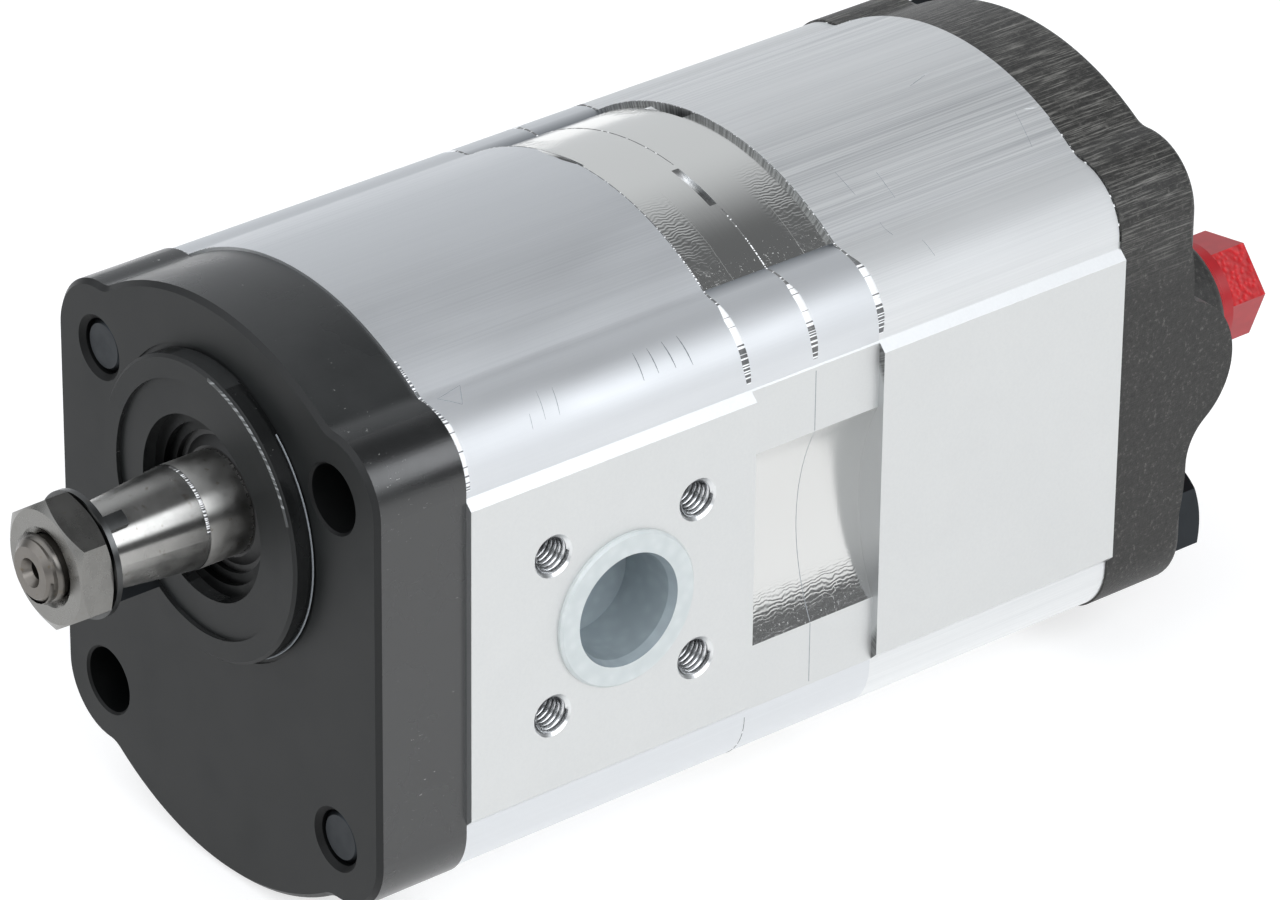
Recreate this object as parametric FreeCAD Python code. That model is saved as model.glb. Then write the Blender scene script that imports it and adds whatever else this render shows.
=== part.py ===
"""Two-stage external gear pump, in millimetres.

The origin is on the drive shaft's axis, in the mounting face of the front cover.
The shaft points along -Y, the pump's body lies along +Y, +X is the outlet side and +Z is up.
"""
import FreeCAD, Part
import math
import os

from FreeCAD import Vector

# The case section, shared by covers, bodies and plates
gear_centres = 31.5
case_radius = 50.5
plate_step = 0.8
front_cover_step = 0.5
rear_cover_step = 1.2
raw_half_width = 40.75
cover_overhang = 0.35
port_pad_rise = 1.55
plate_pad_rise = 0.25
pad_half_height = 28.85
case_blend_radius = 4.0
plate_blend_radius = 0.5
bolt_spacing = 60.0

# The lengths of the stack, from the mounting face back
front_cover_length = 16.8
front_gear_width = 22.3
rear_gear_width = 17.2
block_length = 16.6
plate_thickness = 12.9
rear_cover_length = 16.5

# The gears
tooth_count = 12
gear_addendum = 2.35
gear_dedendum = 2.55
pressure_angle = 20.0
tooth_backlash = 0.12
journal_radius = 9.0
journal_chamfer = 0.6
relief_slot_start = 4.5
relief_slot_width = 7.0
relief_slot_depth = 2.0

# Named clearances
tip_clearance = 0.1
running_clearance = 0.05
block_clearance = 0.05
slide_clearance = 0.1
seat_clearance = 0.1
coupling_play = 0.4
dowel_clearance = 0.01
key_side_clearance = 0.01
ring_side_play = 0.02
overshoot = 1.0

# The drive end of the shaft
shaft_radius = 8.5
taper_ratio = 5.0
taper_front = 24.5
taper_rear = 7.0
taper_edge = 0.4
journal_step_gap = 1.0
thread_major_radius = 6.0
thread_root_radius = 5.08
thread_end = 34.4
thread_chamfer = 0.9
centre_hole_radius = 2.4
centre_drill_radius = 1.6
centre_hole_depth = 6.0
nut_across_flats = 19.0
nut_height = 6.0
nut_bore_radius = 5.3
nut_mouth_clearance = 0.5
nut_mouth_depth = 0.9
nut_angle = 35.0
hexagon_face_ratio = 0.97
hexagon_chamfer_angle = 30.0
washer_radius = 10.3
washer_thickness = 1.0
tab_width = 2.6
tab_length = 4.7
tab_angle = 56.0
key_disc_radius = 6.5
key_height = 5.0
key_width = 3.0
key_proud = 2.4
key_centre = 17.9

# The pilot and the shaft seal
pilot_radius = 25.0
pilot_height = 3.4
pilot_chamfer = 0.5
pilot_recess_radius = 21.2
pilot_recess_depth = 0.8
pilot_groove_width = 0.85
pilot_groove_depth = 0.4
pilot_undercut = 0.15
pocket_mouth_radius = 15.25
seal_radius = 15.0
seal_length = 7.0
seal_front = 1.0
seal_case_wall = 1.0
seal_case_bevel = 0.5
seal_face_width = 3.4
seal_rubber_wall = 1.2
seal_rubber_length = 3.0
seal_web = 1.4
lip_thickness = 2.0
lip_length = 4.6
lip_slope = 1.0
dust_lip_reach = 0.9
garter_wire_radius = 0.65
garter_place = 3.3
ring_thickness = 1.2
ring_seat_depth = 0.9
ring_inner_radius = 13.2
ring_gap_half = 4.0
ring_turn = -126.0
ring_eye_x = 5.4
ring_eye_drop = 0.2
ring_eye_radius = 1.9
ring_eye_hole_radius = 0.8
shaft_passage_radius = 9.8

# Fasteners
clamp_bolt_radius = 4.5
clamp_head_flats = 17.0
clamp_head_height = 5.9
clamp_head_angle = 37.0
clamp_washer_face = 0.5
clamp_face_radius = 7.9
bolt_end_depth = 0.9
bolt_end_chamfer = 0.8
tapped_hole_radius = 4.6
tapped_chamfer = 0.85
mount_hole_radius = 5.5
mount_hole_chamfer = 0.4
dowel_radius = 2.5
dowel_length = 7.0
dowel_edge_distance = 5.75
dowel_z = 12.5

# The ports
port_offset = 2.1
outlet_radius = 10.0
outlet_bolt_circle = 40.0
outlet_bolt_radius = 3.0
outlet_bolt_depth = 13.0
inlet_radius = 13.0
inlet_bolt_circle = 55.0
inlet_bolt_radius = 4.0
inlet_bolt_depth = 14.0
tapped_mouth = 0.65
drill_point_angle = 118.0
cap_clearance = 0.05
cap_wall = 0.9
cap_depth = 12.0
cap_lead = 0.8
cap_rim_width = 3.2
cap_rim_thickness = 0.9
cap_rim_bevel = 0.4
cap_mouth_flare = 0.6
passage_radius = 7.5
passage_x = 26.0
rear_port_x = 20.5
rear_port_radius = 9.0
rear_port_depth = 11.0
rear_channel_radius = 6.0

# The plates
scallop_radius = 39.0
scallop_depth = 4.0
notch_radius = 18.0
notch_chord = 11.4
notch_width = 1.4
front_notch_angle = 98.5
joint_notch_angle = 76.5
rear_notch_angle = 103.0

# The rear cover
rear_rim_round = 1.6
front_rim_chamfer = 0.8
ridge_radius = 12.8
ridge_height = 9.2
ridge_rise = 1.6
ridge_upper_hollow = 1.5
ridge_lower_hollow = 9.3
ridge_run_out = 12.0
boss_radius = 13.0
boss_height = 16.1
boss_round = 2.6
cast_fillet = 3.0

# The coupling
coupling_radius = 12.0
coupling_gap = 0.8
tang_width = 8.0
tang_length = 8.0

# The seals
joint_seal_offset = 3.1
joint_seal_width = 1.9
joint_seal_depth = 1.2
inlet_bump_radius = 11.5
outlet_bump_radius = 9.5
block_seal_edge = 1.8
block_seal_width = 1.9
block_seal_depth = 2.2
block_seal_end_x = -7.0
bush_wall = 1.5

# The red plug
plug_flats = 16.0
plug_hex_length = 7.5
plug_hex_angle = 9.3
plug_collar_radius = 9.9
plug_collar_thickness = 1.7
plug_collar_bevel = 0.3
plug_neck_radius = 9.3
plug_neck_length = 2.2
plug_edge_round = 0.4
plug_lead = 0.8
plug_end_gap = 2.0

# Places that follow from the sizes above
mid_z = -gear_centres / 2
bolt_half = bolt_spacing / 2
plate_case_radius = case_radius - plate_step
front_cover_radius = case_radius - front_cover_step
rear_cover_radius = case_radius - rear_cover_step
cover_half_width = raw_half_width + cover_overhang
body_half_width = raw_half_width + port_pad_rise
plate_half_width = raw_half_width + plate_pad_rise
scallop_floor = plate_half_width - scallop_depth
dowel_x = raw_half_width - dowel_edge_distance
gear_tip_radius = gear_centres / 2 + gear_addendum
gear_root_radius = gear_centres / 2 - gear_dedendum
bore_radius = gear_tip_radius + tip_clearance
block_seal_outer = bore_radius - block_seal_edge
block_seal_inner = block_seal_outer - block_seal_width
bush_radius = journal_radius + running_clearance + bush_wall
front_body_length = front_gear_width + 2 * (block_length + block_clearance)
rear_body_length = rear_gear_width + 2 * (block_length + block_clearance)
front_body_start = front_cover_length
front_body_end = front_body_start + front_body_length
plate_joint = front_body_end + plate_thickness
rear_body_start = plate_joint + plate_thickness
rear_body_end = rear_body_start + rear_body_length
rear_face = rear_body_end + rear_cover_length
front_gear_start = front_body_start + block_length + block_clearance
rear_gear_start = rear_body_start + block_length + block_clearance
front_gear_middle = front_gear_start + front_gear_width / 2
rear_gear_middle = rear_gear_start + rear_gear_width / 2
port_setback = front_gear_middle + port_offset
nut_rear = -(taper_front + washer_thickness + seat_clearance)
nut_front = nut_rear - nut_height
clamp_corners = [(-1, 1), (1, -1)]
mount_corners = [(1, 1), (-1, -1)]
Y_AXIS = Vector(0, 1, 0)


def cylinder(radius, x, z, start, end):
    """A cylinder along Y, between two places on Y."""
    return Part.makeCylinder(radius, end - start, Vector(x, start, z), Y_AXIS)


def cone(radius_start, radius_end, x, z, start, end):
    """A cone along Y, between two places on Y."""
    return Part.makeCone(radius_start, radius_end, end - start, Vector(x, start, z), Y_AXIS)


def box(x, y, z):
    """A box between pairs of limits on each axis."""
    size = [pair[1] - pair[0] for pair in (x, y, z)]
    return Part.makeBox(*size, Vector(x[0], y[0], z[0]))


def turned(profile, x=0.0, z=0.0):
    """A solid turned about a line along Y, from (radius, y) points."""
    points = [Vector(x + radius, y, z) for radius, y in profile]
    face = Part.Face(Part.makePolygon(points + points[:1]))
    return face.revolve(Vector(x, 0, z), Y_AXIS, 360)


def hexagon(across_flats, x, z, start, end, angle):
    """A hexagonal bar along Y, its first corner at an angle from +X."""
    corner = across_flats / 2 / math.cos(math.radians(30))
    points = []
    for step in range(6):
        turn = math.radians(angle + 60 * step)
        points.append(Vector(x + corner * math.cos(turn), start, z + corner * math.sin(turn)))
    face = Part.Face(Part.makePolygon(points + points[:1]))
    return face.extrude(Vector(0, end - start, 0))


def corner_places(corners):
    """The X and Z of some of the four corner holes."""
    return [(side * bolt_half, mid_z + level * bolt_half) for side, level in corners]


def joined(first, others):
    """One solid from touching ones, with no seams left over."""
    return first.fuse(others).removeSplitter()


def case_section(half_width, radius, blend_radius, y):
    """The face of the case: a big circle, four ears about the bolts and two flat sides.

    The outline is worked out in the upper right quarter and mirrored into the other three.
    A hollow of the blend radius leads from the circle into each ear.
    Where the circle is so large that the ears lie inside it, the flat sides run up to the circle.
    """
    ear_radius = half_width - bolt_half
    ear_distance = bolt_half * math.sqrt(2)

    def place(point, across, up):
        return Vector(point[0] * across, y, mid_z + point[1] * up)

    def crown(end, up):
        points = [place(end, -1, up), place((0, radius), 1, up), place(end, 1, up)]
        return Part.Arc(*points).toShape()

    if ear_distance + ear_radius <= radius:
        corner = (half_width, math.sqrt(radius ** 2 - half_width ** 2))
        edges = [crown(corner, up) for up in (1, -1)]
        edges += [Part.makeLine(place(corner, side, -1), place(corner, side, 1)) for side in (1, -1)]
        return Part.Face(Part.Wire(Part.__sortEdges__(edges)))

    reach = radius + blend_radius
    ear_reach = ear_radius + blend_radius
    swing = math.acos((ear_distance ** 2 + reach ** 2 - ear_reach ** 2) / (2 * ear_distance * reach))
    blend_angle = math.pi / 4 + swing
    blend = (reach * math.cos(blend_angle), reach * math.sin(blend_angle))
    big_end = (radius * math.cos(blend_angle), radius * math.sin(blend_angle))
    ear_angle = math.atan2(blend[1] - bolt_half, blend[0] - bolt_half)
    ear_end = (bolt_half + ear_radius * math.cos(ear_angle), bolt_half + ear_radius * math.sin(ear_angle))
    ear_middle = (bolt_half + ear_radius * math.cos(ear_angle / 2),
                  bolt_half + ear_radius * math.sin(ear_angle / 2))
    chord_middle = ((big_end[0] + ear_end[0]) / 2, (big_end[1] + ear_end[1]) / 2)
    toward = math.atan2(chord_middle[1] - blend[1], chord_middle[0] - blend[0])
    blend_middle = (blend[0] + blend_radius * math.cos(toward), blend[1] + blend_radius * math.sin(toward))
    edges = [crown(big_end, up) for up in (1, -1)]
    for across in (1, -1):
        side = [place((half_width, level * bolt_half), across, 1) for level in (-1, 1)]
        edges.append(Part.makeLine(*side))
        for up in (1, -1):
            ear = [place(point, across, up) for point in ((half_width, bolt_half), ear_middle, ear_end)]
            edges.append(Part.Arc(*ear).toShape())
            hollow = [place(point, across, up) for point in (ear_end, blend_middle, big_end)]
            edges.append(Part.Arc(*hollow).toShape())
    return Part.Face(Part.Wire(Part.__sortEdges__(edges)))


def case_blank(start, end, half_width, radius, blend_radius=case_blend_radius):
    """A length of the case section."""
    section = case_section(half_width, radius, blend_radius, start)
    return section.extrude(Vector(0, end - start, 0))


def side_pads(start, end, width):
    """The flat port pads of the extrusion on both sides, milled to a half width."""
    level = pad_half_height - (width - raw_half_width)
    outline = [(raw_half_width, pad_half_height), (width, level), (width, -level),
               (raw_half_width, -pad_half_height)]
    outline += [(-x, -z) for x, z in outline]
    points = [Vector(x, start, mid_z + z) for x, z in outline]
    face = Part.Face(Part.makePolygon(points + points[:1]))
    return face.extrude(Vector(0, end - start, 0))


def corner_holes(start, end, radius, corners):
    """Bores through the corners of a case piece."""
    return [cylinder(radius, x, z, start, end) for x, z in corner_places(corners)]


def twin_bore(radius, start, end):
    """The figure-eight bore of both gear axes."""
    upper = cylinder(radius, 0, 0, start, end)
    return upper.fuse(cylinder(radius, 0, -gear_centres, start, end))


def seal_region(grow, start, end):
    """The area inside a joint seal: round both bores, the inlet passage and the outlet channel."""
    radius = bore_radius + joint_seal_offset + grow
    parts = [
        cylinder(radius, 0, -gear_centres, start, end),
        box((-radius, radius), (start, end), (-gear_centres, 0)),
        cylinder(inlet_bump_radius + grow, -passage_x, mid_z, start, end),
        cylinder(outlet_bump_radius + grow, rear_port_x, mid_z, start, end),
    ]
    return cylinder(radius, 0, 0, start, end).fuse(parts)


def joint_seal(start):
    """A moulded seal that lies in one face of a joint and just reaches the other."""
    end = start + joint_seal_depth
    outer = seal_region(joint_seal_width / 2, start, end)
    inner = seal_region(-joint_seal_width / 2, start - overshoot, end + overshoot)
    return outer.cut(inner).removeSplitter()


def dowel_places():
    """Two dowels on opposite sides of each joint."""
    return [(dowel_x, mid_z + dowel_z), (-dowel_x, mid_z - dowel_z)]


def dowel_holes(joint):
    """The pair of dowel holes through one joint."""
    half = dowel_length / 2 + slide_clearance
    return [cylinder(dowel_radius, x, z, joint - half, joint + half) for x, z in dowel_places()]


def port_hole(side, radius, reach):
    """A port bored in from one side, from a distance outside the case to a depth in X."""
    start = Vector(side * reach, port_setback, mid_z)
    return Part.makeCylinder(radius, body_half_width + overshoot - reach, start, Vector(side, 0, 0))


def port_bolt_places(bolt_circle):
    """The Y and Z of four port bolts on the corners of a square."""
    half = bolt_circle / 2 / math.sqrt(2)
    return [(port_setback + a * half, mid_z + b * half) for a in (-1, 1) for b in (-1, 1)]


def port_bolts(side, radius, depth, bolt_circle):
    """Four tapped holes about a port, with countersunk mouths and the cones that the drill left."""
    holes = []
    for y, z in port_bolt_places(bolt_circle):
        mouth = Vector(side * body_half_width, y, z)
        inward = Vector(-side, 0, 0)
        holes.append(Part.makeCylinder(radius, depth, mouth, inward))
        point = radius / math.tan(math.radians(drill_point_angle / 2))
        holes.append(Part.makeCone(radius, 0, point, mouth + inward * depth, inward))
        holes.append(Part.makeCone(radius + tapped_mouth, radius, tapped_mouth, mouth, inward))
    return holes


def make_front_cover():
    """The black front cover: pilot, shaft seal pocket and four corner holes."""
    blank = case_blank(0, front_cover_length, cover_half_width, front_cover_radius)
    rim = [edge for edge in blank.Edges if edge.BoundBox.YMax < front_rim_chamfer / 2]
    blank = blank.makeChamfer(front_rim_chamfer, rim)
    pilot = turned([(0, 0), (0, -pilot_height), (pilot_radius - pilot_chamfer, -pilot_height),
                    (pilot_radius, -pilot_height + pilot_chamfer), (pilot_radius, 0)])
    groove = cylinder(pilot_radius + pilot_groove_width, 0, 0, 0, pilot_groove_depth)
    groove = groove.cut(cylinder(pilot_radius - pilot_undercut, 0, 0, 0, pilot_groove_depth))
    recess_floor = -pilot_height + pilot_recess_depth
    recess = cylinder(pilot_recess_radius, 0, 0, -pilot_height - overshoot, recess_floor)
    pocket_end = seal_front + seal_length + slide_clearance
    ring_start = seal_front - ring_thickness
    cuts = [
        recess,
        cylinder(pocket_mouth_radius, 0, 0, -pilot_height, ring_start),
        cylinder(seal_radius + ring_seat_depth, 0, 0, ring_start, seal_front),
        cylinder(seal_radius, 0, 0, seal_front, pocket_end),
        cylinder(shaft_passage_radius, 0, 0, pocket_end, front_cover_length),
    ]
    cuts += corner_holes(-overshoot, front_cover_length + overshoot, mount_hole_radius, mount_corners)
    cuts += corner_holes(-overshoot, front_cover_length + overshoot, tapped_hole_radius, clamp_corners)
    for x, z in corner_places(clamp_corners):
        mouth = tapped_hole_radius + tapped_chamfer
        cuts.append(cone(mouth, tapped_hole_radius, x, z, 0, tapped_chamfer))
    for x, z in corner_places(mount_corners):
        mouth = mount_hole_radius + mount_hole_chamfer
        cuts.append(cone(mouth, mount_hole_radius, x, z, 0, mount_hole_chamfer))
    cuts += dowel_holes(front_body_start)
    return blank.cut(groove).fuse(pilot).cut(cuts).removeSplitter()


def make_body(start, end):
    """The extruded case of one stage, with its gear bore, bolt holes and seal seats."""
    blank = case_blank(start, end, raw_half_width, case_radius)
    blank = joined(blank, [side_pads(start, end, body_half_width)])
    low, high = start - overshoot, end + overshoot
    cuts = [twin_bore(bore_radius, low, high)]
    cuts += corner_holes(low, high, mount_hole_radius, mount_corners + clamp_corners)
    cuts += dowel_holes(start) + dowel_holes(end)
    cuts += [joint_seal(start), joint_seal(end - joint_seal_depth)]
    return blank, cuts


def make_front_body():
    """The front body with its outlet and inlet ports and the inlet passage to the rear stage."""
    blank, cuts = make_body(front_body_start, front_body_end)
    cuts.append(port_hole(1, outlet_radius, 0))
    cuts.append(port_hole(-1, inlet_radius, 0))
    cuts += port_bolts(1, outlet_bolt_radius, outlet_bolt_depth, outlet_bolt_circle)
    cuts += port_bolts(-1, inlet_bolt_radius, inlet_bolt_depth, inlet_bolt_circle)
    cuts.append(cylinder(passage_radius, -passage_x, mid_z, port_setback, front_body_end + overshoot))
    return blank.cut(cuts)


def make_rear_body():
    """The rear body: the inlet passage comes in in front, the outlet channel leaves behind."""
    blank, cuts = make_body(rear_body_start, rear_body_end)
    cuts.append(cylinder(passage_radius, -passage_x, mid_z, rear_body_start - overshoot,
                         rear_gear_middle))
    cuts.append(cylinder(rear_channel_radius, rear_port_x, mid_z, rear_gear_middle,
                         rear_body_end + overshoot))
    half = rear_channel_radius
    cuts.append(box((-passage_x, rear_port_x), (rear_gear_middle - half, rear_gear_middle + half),
                    (mid_z - half, mid_z + half)))
    return blank.cut(cuts)


def edge_notch(angle, start):
    """A shallow prying notch at the rim of a plate, cut by a disc whose axis lies along Y."""
    sagitta = notch_radius - math.sqrt(notch_radius ** 2 - (notch_chord / 2) ** 2)
    distance = plate_case_radius + notch_radius - sagitta
    turn = math.radians(angle)
    x = distance * math.cos(turn)
    z = mid_z + distance * math.sin(turn)
    return cylinder(notch_radius, x, z, start, start + notch_width)


def make_plate(start, end, notches):
    """An adapter plate: coupling bore, inlet passage, bolt holes and the scalloped side."""
    blank = case_blank(start, end, raw_half_width, plate_case_radius, plate_blend_radius)
    blank = joined(blank, [side_pads(start, end, plate_half_width)])
    low, high = start - overshoot, end + overshoot
    cuts = [
        cylinder(coupling_radius + coupling_play, 0, 0, low, high),
        cylinder(passage_radius, -passage_x, mid_z, low, high),
        cylinder(scallop_radius, scallop_floor + scallop_radius, mid_z, low, high),
    ]
    cuts += corner_holes(low, high, mount_hole_radius, mount_corners + clamp_corners)
    cuts += dowel_holes(start) + dowel_holes(end)
    cuts += notches
    return blank.cut(cuts)


def make_front_plate():
    """The front adapter plate, with a notch at each of its faces."""
    notches = [
        edge_notch(front_notch_angle, front_body_end),
        edge_notch(joint_notch_angle, plate_joint - notch_width),
    ]
    return make_plate(front_body_end, plate_joint, notches)


def make_rear_plate():
    """The rear adapter plate, which also holds the seal of the joint between the plates."""
    notches = [edge_notch(rear_notch_angle, rear_body_start - notch_width)]
    plate = make_plate(plate_joint, rear_body_start, notches)
    return plate.cut(joint_seal(plate_joint))


def ridge_flank(centre_y, hollow, level):
    """One flank of the side ridge, from its round back to where it runs out in the cover's rim.

    The back meets a hollow, the hollow lies down on the rear face, and from there a long arc
    sinks as deep as the rim is rounded, with a quarter of that at half its length, so that the
    rim's edge fades in. Points are (y, z), and level is 1 for the upper flank, -1 for the lower.
    """
    rise = rear_face + hollow - centre_y
    reach = ridge_radius + hollow
    foot = math.sqrt(reach ** 2 - rise ** 2)
    share = ridge_radius / reach
    toward = (math.atan2(-rise, -foot) - math.pi / 2) / 2
    points = [
        (centre_y + rise * share, foot * share),
        (rear_face + hollow + hollow * math.sin(toward), foot + hollow * math.cos(toward)),
        (rear_face, foot),
        (rear_face - rear_rim_round / 4, foot + ridge_run_out / 2),
        (rear_face - rear_rim_round, foot + ridge_run_out),
        (rear_face - rear_rim_round - overshoot, foot + ridge_run_out),
    ]
    return [(y, level * z) for y, z in points]


def ridge_section(x):
    """The section of the side ridge: a round back between a sharp hollow and a wide one."""
    centre_y = rear_face + ridge_height - ridge_radius
    flanks = [ridge_flank(centre_y, ridge_upper_hollow, 1), ridge_flank(centre_y, ridge_lower_hollow, -1)]

    def place(point):
        return Vector(x, point[0], mid_z + ridge_rise + point[1])

    crest = (rear_face + ridge_height, 0)
    edges = [Part.Arc(place(flanks[0][0]), place(crest), place(flanks[1][0])).toShape()]
    for flank in flanks:
        edges.append(Part.Arc(*[place(point) for point in flank[:3]]).toShape())
        edges.append(Part.Arc(*[place(point) for point in flank[2:5]]).toShape())
        edges.append(Part.makeLine(place(flank[4]), place(flank[5])))
    edges.append(Part.makeLine(place(flanks[0][5]), place(flanks[1][5])))
    return Part.Face(Part.Wire(Part.__sortEdges__(edges)))


def make_port_boss():
    """The round boss of the rear port, with a hollow at its foot and a rounded rim."""
    top = rear_face + boss_height
    foot = boss_radius + cast_fillet
    base = rear_face - overshoot
    bend = cast_fillet * (1 - math.sqrt(0.5))
    rim = boss_round * (1 - math.sqrt(0.5))

    def place(radius, y):
        return Vector(rear_port_x + radius, y, mid_z)

    edges = [
        Part.makeLine(place(0, base), place(foot, base)),
        Part.makeLine(place(foot, base), place(foot, rear_face)),
        Part.Arc(place(foot, rear_face), place(boss_radius + bend, rear_face + bend),
                 place(boss_radius, rear_face + cast_fillet)).toShape(),
        Part.makeLine(place(boss_radius, rear_face + cast_fillet), place(boss_radius, top - boss_round)),
        Part.Arc(place(boss_radius, top - boss_round), place(boss_radius - rim, top - rim),
                 place(boss_radius - boss_round, top)).toShape(),
        Part.makeLine(place(boss_radius - boss_round, top), place(0, top)),
        Part.makeLine(place(0, top), place(0, base)),
    ]
    face = Part.Face(Part.Wire(edges))
    return face.revolve(Vector(rear_port_x, 0, mid_z), Y_AXIS, 360)


def make_rear_cover():
    """The cast rear cover: rounded rim, side ridge, port boss and bolt seats."""
    blank = case_blank(rear_body_end, rear_face, cover_half_width, rear_cover_radius)
    rim = [edge for edge in blank.Edges if edge.BoundBox.YMin > rear_face - rear_rim_round / 2]
    blank = blank.makeFillet(rear_rim_round, rim)
    ridge = ridge_section(rear_port_x).extrude(Vector(cover_half_width - rear_port_x, 0, 0))
    blank = joined(blank, [ridge, make_port_boss()])
    top = rear_face + boss_height
    port_floor = top - rear_port_depth
    low = rear_body_end - overshoot
    cuts = corner_holes(low, rear_face + overshoot, mount_hole_radius, mount_corners + clamp_corners)
    cuts.append(cylinder(rear_port_radius, rear_port_x, mid_z, port_floor, top + overshoot))
    cuts.append(cylinder(rear_channel_radius, rear_port_x, mid_z, low, port_floor + overshoot))
    cuts += dowel_holes(rear_body_end)
    return blank.cut(cuts)


def gear_outline(x, z, y, first_tooth):
    """The toothed outline of a gear: involute flanks down to the base circle, then straight roots."""
    pitch_radius = gear_centres / 2
    base_radius = pitch_radius * math.cos(math.radians(pressure_angle))
    half_tooth = math.pi / (2 * tooth_count) - tooth_backlash / 2 / pitch_radius

    def roll(radius):
        """The turn of an involute between its base circle and a radius."""
        lean = math.acos(base_radius / radius)
        return math.tan(lean) - lean

    def half_angle(radius):
        """Half the angle that a tooth fills at a radius."""
        return half_tooth + roll(pitch_radius) - roll(max(radius, base_radius))

    def place(radius, turn):
        return Vector(x + radius * math.cos(turn), y, z + radius * math.sin(turn))

    middle_radius = (base_radius + gear_tip_radius) / 2
    pitch_turn = 2 * math.pi / tooth_count
    edges = []
    for tooth in range(tooth_count):
        centre = math.radians(first_tooth) + tooth * pitch_turn
        root_half = half_angle(base_radius)
        tip_half = half_angle(gear_tip_radius)
        for side in (-1, 1):
            root = place(gear_root_radius, centre + side * root_half)
            foot = place(base_radius, centre + side * root_half)
            flank = place(middle_radius, centre + side * half_angle(middle_radius))
            tip = place(gear_tip_radius, centre + side * tip_half)
            edges.append(Part.makeLine(root, foot))
            edges.append(Part.Arc(foot, flank, tip).toShape())
        tips = [place(gear_tip_radius, centre + turn) for turn in (-tip_half, 0, tip_half)]
        edges.append(Part.Arc(*tips).toShape())
        gap = [centre + root_half, centre + pitch_turn / 2, centre + pitch_turn - root_half]
        edges.append(Part.Arc(*[place(gear_root_radius, turn) for turn in gap]).toShape())
    return Part.Face(Part.Wire(Part.__sortEdges__(edges)))


def gear(z, start, width, first_tooth):
    """A gear's toothed body, between its two bearing blocks."""
    play = running_clearance
    face = gear_outline(0, z, start + play, first_tooth)
    return face.extrude(Vector(0, width - 2 * play, 0))


def tang(start, end, across_x):
    """A flat driving tang, as wide as the journal, with its flats across X or across Z."""
    long = (-journal_radius, journal_radius)
    thin = (-tang_width / 2, tang_width / 2)
    limits = (long, (start, end), thin) if across_x else (thin, (start, end), long)
    return cylinder(journal_radius, 0, 0, start, end).common(box(*limits))


def cone_radius(y):
    """The radius of the 1 in 5 taper at a place on Y."""
    return shaft_radius - (-y - taper_rear) / (2 * taper_ratio)


def key_solid(side_play, top_play):
    """A Woodruff key: a slice of a disc, flat on its outer edge, on the shaft's underside.

    The two plays make it larger all round and on the flat, so that it cuts its own seat.
    """
    crown = -(cone_radius(-key_centre) + key_proud)
    flat = crown - top_play
    centre_z = crown + key_height - key_disc_radius
    half = key_width / 2 + side_play
    disc = Part.makeCylinder(key_disc_radius + side_play, 2 * half,
                             Vector(-half, -key_centre, centre_z), Vector(1, 0, 0))
    reach = key_disc_radius + overshoot
    above = box((-half, half), (-key_centre - reach, -key_centre + reach), (flat, centre_z + reach))
    return disc.common(above)


def make_front_drive_shaft():
    """The front drive shaft in one piece: thread, taper, journals, gear and driving tang."""
    journal_end = front_body_end + coupling_gap
    journal_start = front_body_start - journal_step_gap
    small_end = cone_radius(-taper_front)
    shaft = turned([
        (0, -thread_end),
        (thread_root_radius - thread_chamfer, -thread_end),
        (thread_root_radius, -thread_end + thread_chamfer),
        (thread_root_radius, -taper_front),
        (small_end - taper_edge, -taper_front),
        (small_end, -taper_front + taper_edge),
        (shaft_radius, -taper_rear),
        (shaft_radius, journal_start - journal_radius + shaft_radius),
        (journal_radius, journal_start),
        (journal_radius, journal_end),
        (0, journal_end),
    ])
    taper_depth = (centre_hole_radius - centre_drill_radius) / math.tan(math.radians(30))
    point = centre_drill_radius / math.tan(math.radians(drill_point_angle / 2))
    centre = turned([(0, -thread_end), (centre_hole_radius, -thread_end),
                     (centre_drill_radius, -thread_end + taper_depth),
                     (centre_drill_radius, -thread_end + centre_hole_depth),
                     (0, -thread_end + centre_hole_depth + point)])
    toothed = gear(0, front_gear_start, front_gear_width, -90)
    drive = tang(journal_end - overshoot, journal_end + tang_length, True)
    seat = key_solid(key_side_clearance, key_height)
    return shaft.fuse([toothed, drive]).cut([centre, seat]).removeSplitter()


def make_idler(start, length, gear_start, width):
    """An idler gear with a journal at each end."""
    end = start + length
    face_radius = journal_radius - journal_chamfer
    body = turned([
        (0, start), (face_radius, start), (journal_radius, start + journal_chamfer),
        (journal_radius, end - journal_chamfer), (face_radius, end), (0, end),
    ], 0, -gear_centres)
    half_pitch = 180 / tooth_count
    return joined(body, [gear(-gear_centres, gear_start, width, 90 + half_pitch)])


def make_rear_drive_shaft():
    """The rear drive shaft: driving tang, journals and gear."""
    start = rear_body_start - coupling_gap
    end = rear_body_end - slide_clearance
    body = turned([
        (0, start), (journal_radius, start), (journal_radius, end - journal_chamfer),
        (journal_radius - journal_chamfer, end), (0, end),
    ])
    drive = tang(start - tang_length, start + overshoot, False)
    toothed = gear(0, rear_gear_start, rear_gear_width, -90)
    return joined(body, [toothed, drive])


def make_coupling():
    """The coupling sleeve: a slot across each end, at right angles, for the two tangs."""
    start = front_body_end + coupling_gap + slide_clearance
    end = rear_body_start - coupling_gap - slide_clearance
    half = tang_width / 2 + slide_clearance
    depth = tang_length + slide_clearance
    reach = coupling_radius + overshoot
    cuts = [
        box((-reach, reach), (start - overshoot, start + depth), (-half, half)),
        box((-half, half), (end - depth, end + overshoot), (-reach, reach)),
    ]
    return cylinder(coupling_radius, 0, 0, start, end).cut(cuts)


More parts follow.
